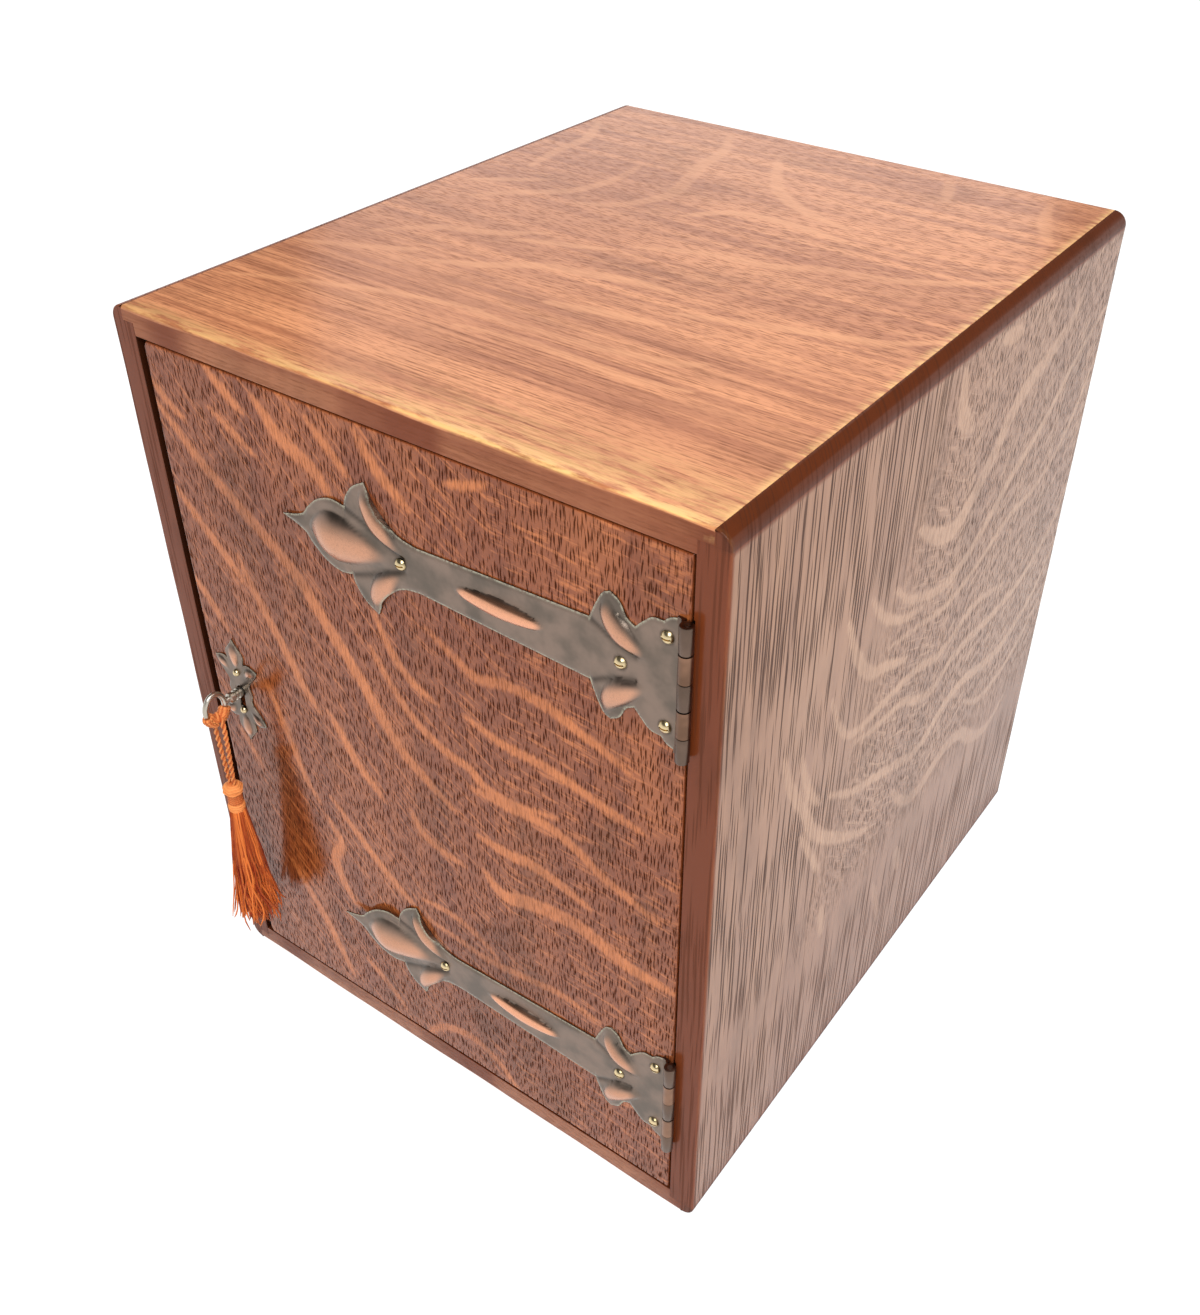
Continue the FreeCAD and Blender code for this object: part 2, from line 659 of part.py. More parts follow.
def turned_on_tassel(points):
    profile = spline([Vec(key_x + radius, bow_y, z) for radius, z in points])
    top = Vec(key_x, bow_y, points[0][1])
    bottom = Vec(key_x, bow_y, points[-1][1])
    ends = [profile.valueAt(profile.FirstParameter), profile.valueAt(profile.LastParameter)]
    closing = [Part.makeLine(ends[1], bottom), Part.makeLine(bottom, top), Part.makeLine(top, ends[0])]
    return revolved([profile] + closing, top, upward)


def tassel_head():
    return turned_on_tassel([(2.6, head_top), (4.1, head_top - 2.2), (3.7, head_top - 5.5),
                             (3.9, head_top - 8.0), (3.2, head_top - 10.0), (3.4, head_top - 11.5),
                             (3.1, skirt_top)])


def tassel_skirt():
    return turned_on_tassel([(3.2, skirt_top), (4.6, 95.0), (6.3, 78.0), (7.4, 60.0), (8.4, skirt_bottom)])


# Door: one board with worn corners on its free edge, a pocket for the lock, and the keyhole
def door_panel():
    r = door_corner_radius
    lean = r * (1 - math.sqrt(0.5))
    def at(x, z):
        return Vec(x, front, z)
    low_arc = Part.Arc(at(door_left, door_bottom + r), at(door_left + lean, door_bottom + lean),
                       at(door_left + r, door_bottom)).toShape()
    high_arc = Part.Arc(at(door_left + r, door_top), at(door_left + lean, door_top - lean),
                        at(door_left, door_top - r)).toShape()
    straight = polyline([at(door_left + r, door_bottom), at(door_right, door_bottom),
                         at(door_right, door_top), at(door_left + r, door_top)])
    free_edge = Part.makeLine(at(door_left, door_top - r), at(door_left, door_bottom + r))
    outline = Part.Wire(straight + [high_arc, free_edge, low_arc])
    board = Part.Face(outline).extrude(Vec(0, door_thickness, 0))
    board = eased(board, door_arris, edge_on_plane("y", front))
    cuts = [block((door_left - 1, cap_x[1]), (pocket_front, door_back), cap_z),
            block((door_left - 1, lock_x[1]), (door_back - lock_sheet, door_back), lock_z),
            block((door_left - 1, door_left + lock_sheet), (pocket_front, door_back), lock_z),
            keyhole((front - 1, pocket_front + 0.1))]
    for end in (-1, 1):
        place = Vec(key_x, front, key_z + end * escutcheon_pin_spread)
        cuts.append(rod(escutcheon_pin_shank, place, front_back, escutcheon_pin_depth))
    for x, z in lock_screw_places:
        cuts.append(rod(lock_screw_shank, Vec(x, door_back, z), -front_back, lock_screw_length))
    for middle in hinge_heights.values():
        cuts += [strap_screw_hole(along, up, middle) for along, up in strap_screws]
    return board.cut(cuts)


def bolt_mortise():
    return block((-inner_x - mortise_depth, -inner_x),
                 (bolt_y[0] - mortise_clearance, bolt_y[1] + mortise_clearance),
                 (bolt_z[0] - mortise_clearance, bolt_z[1] + mortise_clearance))


def build():
    os.makedirs("parts", exist_ok=True)
    blank = right_side_blank()
    middles = list(hinge_heights.values())
    gains = [leaf_gain(middle) for middle in middles]
    sinks = [leaf_screw_hole(z) for middle in middles for z in leaf_screw_heights(middle)]
    save("right_side", blank.cut(nails + gains + sinks))
    save("left_side", mirrored_x(blank).cut(nails + [bolt_mortise()]))
    save("top_board", top_board_blank().cut(nails))
    save("bottom_board", turned_over(top_board_blank()).cut(nails))
    panel = block((-tongue_x + back_clearance, tongue_x - back_clearance), (panel_front, rear),
                  (lip + back_clearance, case_height - lip - back_clearance))
    save("back_panel", panel.cut(nails))
    save("back_nails", Part.makeCompound(nails))
    shelf_half = inner_x + housing_depth
    shelf = block((-shelf_half, shelf_half), (front + shelf_setback, panel_front),
                  (shelf_height, shelf_height + shelf_thickness))
    save("shelf", eased(shelf, 1.0, edge_on_plane("y", front + shelf_setback)))
    stop = block((-inner_x, -inner_x + stop_width), (door_back + stop_clearance, door_back + stop_depth),
                 (floor_z, ceiling_z))
    save("door_stop", stop)

    leaf = strap_leaf()
    for name, middle in hinge_heights.items():
        save(name + "_case_leaf", case_leaf(middle))
        save(name + "_hinge_pin", hinge_pin(middle))
        save(name + "_leaf_screws", Part.makeCompound([leaf_screw(z) for z in leaf_screw_heights(middle)]))
        placed = leaf.copy()
        placed.translate(Vec(hinge_x, front, middle))
        save(name + "_strap_hinge", placed)
        screws = [strap_screw(along, middle + up) for along, up in strap_screws]
        save(name + "_strap_screws", Part.makeCompound(screws))

    save("door_panel", door_panel())
    save("escutcheon", escutcheon())
    save("escutcheon_pins", Part.makeCompound([escutcheon_pin(end) for end in (-1, 1)]))
    save("lock_plate", lock_plate())
    save("lock_cap", lock_cap())
    save("lock_screws", Part.makeCompound([lock_screw(x, z) for x, z in lock_screw_places]))
    save("lock_bolt", lock_bolt())
    save("lock_drill_pin", drill_pin())
    save("lock_spring", bolt_spring())
    save("key", key())
    save("tassel_cord", tassel_cord())
    save("tassel_head", tassel_head())
    save("tassel_skirt", tassel_skirt())


build()
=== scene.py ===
import json
import math

import bpy
import numpy as np
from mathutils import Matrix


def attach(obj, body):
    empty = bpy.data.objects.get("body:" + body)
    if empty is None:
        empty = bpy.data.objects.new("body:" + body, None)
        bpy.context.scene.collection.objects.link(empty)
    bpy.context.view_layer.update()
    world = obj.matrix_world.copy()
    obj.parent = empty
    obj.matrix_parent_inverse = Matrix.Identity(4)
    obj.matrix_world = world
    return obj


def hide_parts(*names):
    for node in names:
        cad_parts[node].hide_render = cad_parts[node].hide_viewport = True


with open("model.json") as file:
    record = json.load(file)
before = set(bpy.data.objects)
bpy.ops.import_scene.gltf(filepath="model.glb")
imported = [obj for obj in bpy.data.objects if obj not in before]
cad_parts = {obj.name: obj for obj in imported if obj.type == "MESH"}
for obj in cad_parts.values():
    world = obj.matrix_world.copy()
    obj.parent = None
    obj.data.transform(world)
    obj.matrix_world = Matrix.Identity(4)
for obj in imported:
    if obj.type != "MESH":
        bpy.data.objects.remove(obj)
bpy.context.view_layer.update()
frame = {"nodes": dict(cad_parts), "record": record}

# Oak tabletop cabinet. Dictionaries and points are in millimetres, meshes in metres.
# x to the right, front at -y, z up, origin in the middle of the underside.
mm = 0.001
front = -144.0
shade = np.random.default_rng(11)


# Small helpers for surfaces
def smoothStep(low, high, x):
    t = np.clip((x - low) / (high - low), 0, 1)
    return t * t * (3 - 2 * t)


# Catmull-Rom line through given points: each run is the cubic with its neighbours' slopes
def lineThrough(points, perRun=8):
    p = np.asarray(points, float)
    p = np.vstack([2 * p[0] - p[1], p, 2 * p[-1] - p[-2]])
    t = np.linspace(0, 1, perRun, endpoint=False)[None, :, None]
    a, b, c, d = (p[i:len(p) - 3 + i, None, :] for i in range(4))
    run = 0.5 * (2 * b + (c - a) * t + (2 * a - 5 * b + 4 * c - d) * t ** 2
                 + (3 * b - a - 3 * c + d) * t ** 3)
    return np.vstack([run.reshape(-1, p.shape[1]), p[-2:-1]])


# One line through several runs that meet in cusps
def cuspedLine(runs, perRun):
    return np.vstack([lineThrough(run, perRun)[:-1] for run in runs] + [runs[-1][-1:]])


def circle(count):
    return np.linspace(0, 2 * math.pi, count, endpoint=False)


# Points at a reach and a turn about the upright axis
def spun(reach, turn, up):
    return np.stack(np.broadcast_arrays(reach * np.cos(turn), reach * np.sin(turn), up), -1)


def inWindow(u, v, uSpan, vSpan):
    return (u > uSpan[0]) & (u < uSpan[1]) & (v > vSpan[0]) & (v < vSpan[1])


# Quads of a grid numbered row by row, facing the cross product of rows and columns
def gridFaces(rows, cols, wrapRows=False, wrapCols=False, flip=False, start=0):
    r, c = np.meshgrid(np.arange(rows - (not wrapRows)), np.arange(cols - (not wrapCols)), indexing="ij")
    nextRow, nextCol = (r + 1) % rows, (c + 1) % cols
    quads = np.stack([r * cols + c, nextRow * cols + c, nextRow * cols + nextCol, r * cols + nextCol], -1)
    quads = quads.reshape(-1, 4) + start
    return quads[:, ::-1] if flip else quads


# Tube: a grid closed round its columns, with a cap on the first ring and one on the last
def tubeFaces(rows, cols, flip=False, start=0):
    ring = np.arange(cols)[None, :] + start
    near, far = (ring[:, ::-1], ring) if flip else (ring, ring[:, ::-1])
    return [gridFaces(rows, cols, wrapCols=True, flip=flip, start=start), near, far + (rows - 1) * cols]


# Board: two grids of the same size, the second one facing away, and the wall between their rims
def boardFaces(rows, cols):
    top = np.arange(cols)
    side = np.arange(rows) * cols
    rim = np.concatenate([top[:-1], side[:-1] + cols - 1, (rows - 1) * cols + top[:0:-1], side[:0:-1]])
    following = np.roll(rim, -1)
    below = rows * cols
    wall = np.stack([rim, following, following + below, rim + below], -1)
    return [gridFaces(rows, cols), gridFaces(rows, cols, flip=True, start=below), wall]


# Rings of points square to a line: each spot has its turn about the line, from the hint, and its reach
def ringsAlong(line, hint, turn, reach):
    run = np.gradient(line, axis=0)
    run /= np.linalg.norm(run, axis=1)[:, None]
    second = np.cross(run, hint)
    second /= np.linalg.norm(second, axis=1)[:, None]
    first = np.cross(second, run)
    outward = np.cos(turn)[..., None] * first[:, None, :] + np.sin(turn)[..., None] * second[:, None, :]
    return line[:, None, :] + reach * outward


def linked(name, data):
    thing = bpy.data.objects.new(name, data)
    bpy.context.collection.objects.link(thing)
    return thing


def makePiece(name, body, points, faces, material, replaces, marks, sharp=35):
    points = np.asarray(points, float).reshape(-1, 3) * mm
    mesh = bpy.data.meshes.new(name)
    corners = np.concatenate([f.ravel() for f in faces]).astype(np.int32)
    sizes = np.concatenate([np.full(len(f), f.shape[1]) for f in faces])
    mesh.vertices.add(len(points))
    mesh.vertices.foreach_set("co", points.ravel())
    mesh.loops.add(len(corners))
    mesh.loops.foreach_set("vertex_index", corners)
    mesh.polygons.add(len(sizes))
    mesh.polygons.foreach_set("loop_start", (np.cumsum(sizes) - sizes).astype(np.int32))
    mesh.update(calc_edges=True)
    for label, values in marks.items():
        attribute = mesh.attributes.new(label, "FLOAT", "POINT")
        attribute.data.foreach_set("value", np.asarray(values, float).ravel())
    mesh.shade_smooth()
    mesh.set_sharp_from_angle(angle=math.radians(sharp))
    mesh.materials.append(material)
    piece = linked(name, mesh)
    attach(piece, body)
    if replaces:
        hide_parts(*replaces)
    return piece


# Small helpers for materials
def put(tree, kind, inputs=None, **settings):
    node = tree.nodes.new(kind)
    for key, value in settings.items():
        setattr(node, key, value)
    for key, value in (inputs or {}).items():
        if isinstance(value, bpy.types.NodeSocket):
            tree.links.new(value, node.inputs[key])
        else:
            node.inputs[key].default_value = value
    return node


# Gives one kind of Math node a short name. This and the next helpers work in the tree of their socket.
def mathsNode(operation):
    def place(a, b, clamp=False):
        tree = next(x.id_data for x in (a, b) if isinstance(x, bpy.types.NodeSocket))
        return put(tree, "ShaderNodeMath", {0: a, 1: b}, operation=operation, use_clamp=clamp).outputs[0]
    return place


times, plus, less, larger = (mathsNode(kind) for kind in ("MULTIPLY", "ADD", "SUBTRACT", "MAXIMUM"))


def blend(amount, a, b):
    return put(amount.id_data, "ShaderNodeMix", {0: amount, 6: a, 7: b}, data_type="RGBA").outputs[2]


def between(value, low, high, start=0.0, end=1.0):
    span = {"Value": value, "From Min": low, "From Max": high, "To Min": start, "To Max": end}
    return put(value.id_data, "ShaderNodeMapRange", span, interpolation_type="SMOOTHSTEP").outputs[0]


# Noise with features of the given lengths in millimetres along x, y and z, for a vector in metres
def noise(vector, lengths, detail=2.0, roughness=0.5):
    tree = vector.id_data
    factors = [1000 / x for x in lengths]
    place = put(tree, "ShaderNodeVectorMath", {0: vector, 1: factors}, operation="MULTIPLY").outputs[0]
    return put(tree, "ShaderNodeTexNoise", {"Vector": place, "Scale": 1.0, "Detail": detail,
                                            "Roughness": roughness}).outputs[0]


def mark(tree, name):
    return put(tree, "ShaderNodeAttribute", attribute_name=name).outputs["Fac"]


def objectPlace(tree):
    return put(tree, "ShaderNodeTexCoord").outputs["Object"]


def join(sockets, values):
    for label, value in values.items():
        value.id_data.links.new(value, sockets[label])


# Inputs and outputs are lists of labels for each kind of socket
def newGroup(name, inputs, outputs):
    tree = bpy.data.node_groups.new(name, "ShaderNodeTree")
    for way, sockets in (("INPUT", inputs), ("OUTPUT", outputs)):
        for kind, labels in sockets.items():
            for label in labels:
                tree.interface.new_socket(label, in_out=way, socket_type="NodeSocket" + kind)
    return tree, put(tree, "NodeGroupInput").outputs, put(tree, "NodeGroupOutput").inputs


def newMaterial(name, **fixed):
    material = bpy.data.materials.new(name)
    material.use_nodes = True
    tree = material.node_tree
    shader = tree.nodes["Principled BSDF"]
    for key, value in fixed.items():
        shader.inputs[key.replace("_", " ")].default_value = value
    return material, tree, shader


def bumped(shader, height, strength):
    bump = put(height.id_data, "ShaderNodeBump", {"Height": height, "Distance": 0.0002, "Strength": strength})
    join(shader.inputs, {"Normal": bump.outputs[0]})


# One for rays that show the studio to the camera, also in a mirror or through glass
def seenRays(tree):
    path = put(tree, "ShaderNodeLightPath").outputs
    mirrored = larger(path["Is Glossy Ray"], path["Is Transmission Ray"])
    return larger(path["Is Camera Ray"], mirrored)


# Camera, worked out for a picture of 1200 x 1315
view = dict(place=(0.2685, -0.3950, 0.4947), turn=(53.451, -0.538, 35.376), lens=37.594, sensor=36, near=0.01,
            shift=(-0.0279, -0.01975))
cameraData = bpy.data.cameras.new("camera")
cameraData.sensor_width = view["sensor"]
cameraData.lens = view["lens"]
cameraData.shift_x, cameraData.shift_y = view["shift"]
cameraData.clip_start = view["near"]
camera = linked("camera", cameraData)
camera.location = view["place"]
camera.rotation_euler = [math.radians(a) for a in view["turn"]]
bpy.context.scene.camera = camera
bpy.context.scene.view_settings.view_transform = "Standard"

# Studio, in metres: white floor, soft key from above, soft light from behind on the left
studio = dict(
    sky=0.55, zenith=0.1, horizon=(0.12, 0.42),
    floor=dict(reach=4, level=-0.0002, plain=0.8, dim=0.35, glow=0.84),
    key=dict(place=(0.70, -0.72, 1.45), aim=(0, 0, 0.2), size=(1.1, 1.1), power=23.0),
    back=dict(place=(-1.0, 1.53, 1.12), aim=(0, 0, 0.3), size=(1.3, 1.0), power=3.6),
)
world = bpy.data.worlds.new("studio")
bpy.context.scene.world = world
world.use_nodes = True
tree = world.node_tree
direction = put(tree, "ShaderNodeTexCoord").outputs["Generated"]
upward = put(tree, "ShaderNodeSeparateXYZ", {0: direction}).outputs["Z"]
wall = between(upward, *studio["horizon"], 1.0, studio["zenith"])
level = put(tree, "ShaderNodeMix", {0: seenRays(tree), 2: studio["sky"], 3: wall}).outputs[0]
tree.links.new(level, tree.nodes["Background"].inputs["Strength"])
tree.nodes["Background"].inputs["Color"].default_value = (1, 1, 1, 1)

floorLook = studio["floor"]
floorData = bpy.data.meshes.new("floor")
floorCorners = [(floorLook["reach"] * x, floorLook["reach"] * y, floorLook["level"])
                for x, y in ((-1, -1), (1, -1), (1, 1), (-1, 1))]
floorData.from_pydata(floorCorners, [], [(0, 1, 2, 3)])
floor = linked("floor", floorData)
floorMaterial, tree, shader = newMaterial("paleFloor")
tree.nodes.remove(shader)
plain, dim = (put(tree, "ShaderNodeBsdfDiffuse", {"Color": (c, c, c, 1)}).outputs[0]
              for c in (floorLook["plain"], floorLook["dim"]))
glow = put(tree, "ShaderNodeEmission", {"Color": (1, 1, 1, 1), "Strength": floorLook["glow"]}).outputs[0]
white = put(tree, "ShaderNodeAddShader", {0: dim, 1: glow}).outputs[0]
either = put(tree, "ShaderNodeMixShader", {0: seenRays(tree), 1: plain, 2: white}).outputs[0]
tree.links.new(either, tree.nodes["Material Output"].inputs["Surface"])
floorData.materials.append(floorMaterial)


def softBox(name, place, aim, size, power):
    lamp = bpy.data.lights.new(name, "AREA")
    lamp.shape = "RECTANGLE"
    lamp.size, lamp.size_y = size
    lamp.energy = power
    box = linked(name, lamp)
    box.location = place
    x, y, z = np.subtract(aim, place)
    tilt = math.atan2(z, math.hypot(x, y))
    box.rotation_euler = (math.pi / 2 + tilt, 0, math.atan2(y, x) - math.pi / 2)


softBox("keyLight", **studio["key"])
softBox("backLight", **studio["back"])
print("stage: camera, floor and lights")


# Silk: fine threads along the piece, orange with lighter and browner strands
def silkMaterial(name, deep, pale):
    material, tree, shader = newMaterial(name, Roughness=0.6, Specular_IOR_Level=0.2, Sheen_Weight=0.12,
                                         Sheen_Roughness=0.4, Sheen_Tint=(1.0, 0.75, 0.5, 1))
    place = objectPlace(tree)
    patches = noise(place, (3.0, 3.0, 14.0), 3.0)
    amount = plus(times(mark(tree, "thread"), 0.75), times(patches, 0.35))
    join(shader.inputs, {"Base Color": blend(between(amount, 0.15, 0.95), deep, pale)})
    bumped(shader, noise(place, (0.25, 0.25, 4.0), 2.0), 0.6)
    return material


silk = silkMaterial("orangeSilk", (0.28, 0.022, 0.003, 1), (0.80, 0.20, 0.038, 1))
silkBright = silkMaterial("brightSilkWrap", (0.45, 0.06, 0.009, 1), (0.92, 0.34, 0.10, 1))

# Tassel cord: one loop over the key's bow, both strands going down into the tassel's head
tasselAt = np.array([-93.4, -157.5, 0.0])
cordRoute = dict(
    diameter=2.1, twistPitch=6.4, plyOffset=0.5, plyRadius=0.55, around=14, shortest=0.01,
    points=((1.2, 0, 119), (2.5, 0, 139), (3.05, 0, 154.7),
            (-3.05, 0, 154.7), (-2.5, 0, 139), (-1.2, 0, 119)),
)
routeData = bpy.data.curves.new("cordRoute", "CURVE")
routeData.dimensions = "3D"
routeData.resolution_u = 24
routeSpline = routeData.splines.new("NURBS")
routeSpline.points.add(len(cordRoute["points"]) - 1)
for routePoint, place in zip(routeSpline.points, cordRoute["points"]):
    routePoint.co = (*((np.array(place) + tasselAt) * mm), 1)
routeSpline.order_u = 3
routeSpline.use_endpoint_u = True
routeObject = linked("cordRoute", routeData)
routeMesh = bpy.data.meshes.new_from_object(routeObject)
routeLine = np.empty(len(routeMesh.vertices) * 3)
routeMesh.vertices.foreach_get("co", routeLine)
routeLine = routeLine.reshape(-1, 3) / mm
apart = np.linalg.norm(np.diff(routeLine, axis=0), axis=1) > cordRoute["shortest"]
routeLine = routeLine[np.concatenate([[True], apart])]
bpy.data.meshes.remove(routeMesh)
bpy.data.objects.remove(routeObject)
bpy.data.curves.remove(routeData)

# Twisted cord: the outline of two round plies side by side, carried along the line and turned with its length
angle = circle(cordRoute["around"])
offset, radius = cordRoute["plyOffset"], cordRoute["plyRadius"]
reach = offset * np.abs(np.cos(angle)) + np.sqrt(radius ** 2 - (offset * np.sin(angle)) ** 2)
runs = np.linalg.norm(np.diff(routeLine, axis=0), axis=1)
length = np.concatenate([[0], np.cumsum(runs)])
turn = angle[None, :] + 2 * math.pi * length[:, None] / cordRoute["twistPitch"]
cordPoints = ringsAlong(routeLine, (0, 1, 0), turn, reach[None, :, None])
# painted shade in the groove between the two plies, lighter on their crests
cordThread = np.repeat(0.5 + 0.3 * np.cos(2 * angle)[None, :], len(routeLine), 0)
cordPiece = makePiece("tasselCord", "tassel", cordPoints, tubeFaces(*turn.shape, flip=True), silkBright,
                      ["tassel_cord"], {"thread": cordThread})

# Hitch: the cord wound round the lower part of the bow, on either side of the loop.
# Each half is a helix about an oval in the plane x = key.
hitch = dict(centre=(-93.4, -157.5, 158.0), half=(4.5, 6.1), arcs=((-160, -104), (-76, -20)), turns=5.5,
             reach=1.75, wire=0.72, steps=130, around=8)
ringAngle = circle(hitch["around"])[None, :]
sideways = np.array([1.0, 0, 0])
share = np.linspace(0, 1, hitch["steps"])
spin = 2 * math.pi * hitch["turns"] * share
hitchPoints, hitchFaces, hitchThread = [], [], []
for arcStart, arcEnd in hitch["arcs"]:
    turn = np.radians(arcStart + (arcEnd - arcStart) * share)
    outward = np.stack([0 * turn, np.cos(turn), np.sin(turn)], -1)
    oval = outward * (0, *hitch["half"])
    winding = np.cos(spin)[:, None] * outward + np.sin(spin)[:, None] * sideways
    coil = oval + hitch["centre"] + hitch["reach"] * winding
    before = sum(len(p) for p in hitchPoints)
    hitchFaces += tubeFaces(hitch["steps"], hitch["around"], flip=True, start=before)
    hitchPoints.append(ringsAlong(coil, outward, ringAngle, hitch["wire"]).reshape(-1, 3))
    hitchThread.append(np.repeat(0.55 + 0.35 * np.sin(9 * spin), hitch["around"]))
makePiece("hitchCoil", "key", np.concatenate(hitchPoints), hitchFaces, silkBright, (),
          {"thread": np.concatenate(hitchThread)}, sharp=80)

# Head: radius by height, with thread wound round it as a fine helical rib
headShape = dict(
    profile=((119.3, 0.4), (119, 2.3), (117.6, 3.6), (115.8, 3.7), (114, 3.0), (112, 2.8), (110.2, 3.0),
             (109.2, 2.9), (108, 3.3), (106.6, 3.2), (105.2, 2.8), (104.6, 0.4)),
    rib=0.17, lump=0.42, pitch=0.95, around=64, rows=220, least=0.2, wraps=((119.1, 114.4), (109.3, 105.5)),
)
profile = lineThrough(headShape["profile"], 12)
even, given = (np.linspace(0, 1, n) for n in (headShape["rows"], len(profile)))
headZ, headR = (np.interp(even, given, profile[:, k])[:, None] for k in (0, 1))
angle = circle(headShape["around"])[None, :]
wrapped = sum(smoothStep(low - 0.2, low + 0.2, headZ) * (1 - smoothStep(high - 0.2, high + 0.2, headZ))
              for high, low in headShape["wraps"])
winding = np.sin(2 * math.pi * headZ / headShape["pitch"] + angle)
lengthwise = np.sin(17 * angle + 0.3 * headZ)
radius = headR + headShape["rib"] * (wrapped * winding + (1 - wrapped) * lengthwise)
knot = np.sin(3 * angle + 1.7 * headZ) * np.sin(2 * angle - 1.1 * headZ + 1)
radius = radius + headShape["lump"] * knot * smoothStep(112.5, 116, headZ) * smoothStep(119.3, 118.2, headZ)
radius = np.maximum(radius, headShape["least"])
headPoints = spun(radius, angle, headZ)
# on the wound bands the thread is lighter on the crests of the helical rib and darker in its grooves: painted
# highlight and shade
headThread = 0.35 + 0.45 * wrapped + 0.15 * winding
headPiece = makePiece("tasselHead", "tassel", headPoints + tasselAt, tubeFaces(*radius.shape), silkBright,
                      ["tassel_head"], {"thread": headThread}, sharp=80)

# Skirt: threads from the neck to the hem, each a thin tube that swings out, waves a little
# and ends at its own length
skirtShape = dict(
    threads=330, rings=18, sides=4, top=106.0, hem=44.6, ragged=2.6, thick=0.42, core=0.35, turn=2.39996,
    waves=((0.95, 5.5), (0.42, 13)), stray=0.15, strayReach=(1.0, 5.0), widest=12.0,
    flare=((106, 2.9), (100, 3.7), (95, 4.3), (84, 5.5), (70, 6.6), (56, 7.4), (44, 8.1)),
)
count, rings, sides = (skirtShape[key] for key in ("threads", "rings", "sides"))
core = skirtShape["core"]
depth = core + (1 - core) * np.sqrt((np.arange(count) + 0.5) / count)    # most threads lie near the outside
heading = np.arange(count) * skirtShape["turn"] + shade.normal(0, 0.08, count)
clump = 0.30 * np.sin(5 * heading + 1.3) + 0.16 * np.sin(11 * heading + 0.4)
fall = np.linspace(0, 1, rings)
uneven = np.abs(shade.normal(0, skirtShape["ragged"], count))
hem = skirtShape["hem"] + uneven + 1.2 * (1 + np.sin(3 * heading))
z = skirtShape["top"] + (hem[:, None] - skirtShape["top"]) * fall[None, :]
flare = np.array(skirtShape["flare"])
reach = np.interp(z, flare[::-1, 0], flare[::-1, 1]) * depth[:, None]
phase = shade.uniform(0, 6.28, (count, 3))
wave = fall ** 1.3 * sum(size * np.sin(rate * fall + phase[:, [k]])
                         for k, (size, rate) in enumerate(skirtShape["waves"]))
bearing = heading[:, None] + clump[:, None] * fall ** 0.8 + wave * 0.35
stray = shade.random(count) < skirtShape["stray"]
thrown = stray[:, None] * shade.uniform(*skirtShape["strayReach"], count)[:, None] * fall ** 3
reach = np.minimum(reach + wave * 0.5 + thrown, skirtShape["widest"])
centre = spun(reach, bearing, z)
thick = skirtShape["thick"] * shade.uniform(0.75, 1.2, count)[:, None] * np.where(fall > 0.985, 0.5, 1.0)
skirtPoints = centre[:, :, None, :] + thick[:, :, None, None] * spun(1, circle(sides), 0)
tubeStart = (np.arange(count) * rings * sides)[:, None, None]
skirtFaces = [(part[None] + tubeStart).reshape(-1, part.shape[1]) for part in tubeFaces(rings, sides)]
tint = np.clip(shade.normal(0.45, 0.3, count) + 0.25 * np.sin(5 * heading), 0, 1)[:, None] + 0.25 * fall ** 3
makePiece("tasselSkirt", "tassel", skirtPoints.reshape(-1, 3) + tasselAt, skirtFaces, silk,
          ["tassel_skirt"], {"thread": np.repeat(tint[:, :, None], sides, 2)}, sharp=180)

# Quartered oak: dark pore dashes, growth bands, ray flakes, dirt and wear, painted shade and painted
# highlights, under a coat of varnish.
# A pore's numbers are its width, its length, and where its edge and its core lie in the cell.
oakLook = dict(
    stainAndShade=(0.20, 0.044, 0.012, 1), grime=(0.05, 0.022, 0.013, 1), dirtAndShade=(0.012, 0.005, 0.003, 1),
    rubgleam=(0.98, 0.60, 0.23, 1), varnish=0.88, scatter=0.62, fleck=(2.2, 16.0),
    dashes=((1.1, 8.6, 0.33, 0.14), (0.7, 6.0, 0.22, 0.08)),
    streaks=((1.3, 120, 0.32, 0.14), (0.95, 50, 0.26, 0.1)),
)
oakMarks = ("Flake", "Flow", "Along", "Rubgleam", "Tone", "Streak")
oak, have, give = newGroup(
    "quarteredOak",
    dict(Vector=("Place",), Color=("Ground", "Deep", "Silver", "Pore"),
         Float=(*oakMarks, "Pores", "Grime", "Dull", "Fine", "Dash")),
    dict(Color=("Color",), Float=("Roughness", "Varnish", "Height")))
place = have["Place"]                              # metres, grain along z
axes = put(oak, "ShaderNodeSeparateXYZ", {0: place}).outputs
sway = noise(place, (30, 30, 70), 2.0)
across = plus(plus(axes["X"], axes["Y"]), times(sway, 0.0018))
fineAcross = times(across, have["Fine"])
shifted = plus(axes["Z"], times(noise(place, (1.1, 1.1, 200), 1.0), 0.02))


# Dark cores of cells drawn out along the grain, width and length in millimetres
def poreCells(width, length, outer, core):
    cells = {0: times(fineAcross, 1000 / width), 1: times(shifted, 1000 / length)}
    spot = put(oak, "ShaderNodeCombineXYZ", cells).outputs[0]
    cellInputs = {"Vector": spot, "Scale": 1.0, "Randomness": oakLook["scatter"]}
    cell = put(oak, "ShaderNodeTexVoronoi", cellInputs, voronoi_dimensions="2D")
    return between(cell.outputs["Distance"], outer, core)


bands = noise(place, (6, 6, 170), 3.0, 0.6)
cloud = noise(place, (40, 40, 75), 3.0, 0.55)
ground = blend(between(bands, 0.32, 0.66), have["Deep"], have["Ground"])
ground = blend(between(cloud, 0.4, 0.75, 0.0, 0.5), ground, have["Deep"])
dash, streak = (larger(*(poreCells(*pores) for pores in oakLook[key])) for key in ("dashes", "streaks"))
pore = put(oak, "ShaderNodeMix", {0: have["Streak"], 2: times(dash, have["Dash"]), 3: streak}).outputs[0]
pore = times(pore, between(noise(place, (5, 5, 26), 3.0, 0.6), 0.22, 0.55, 0.8, 1.0))
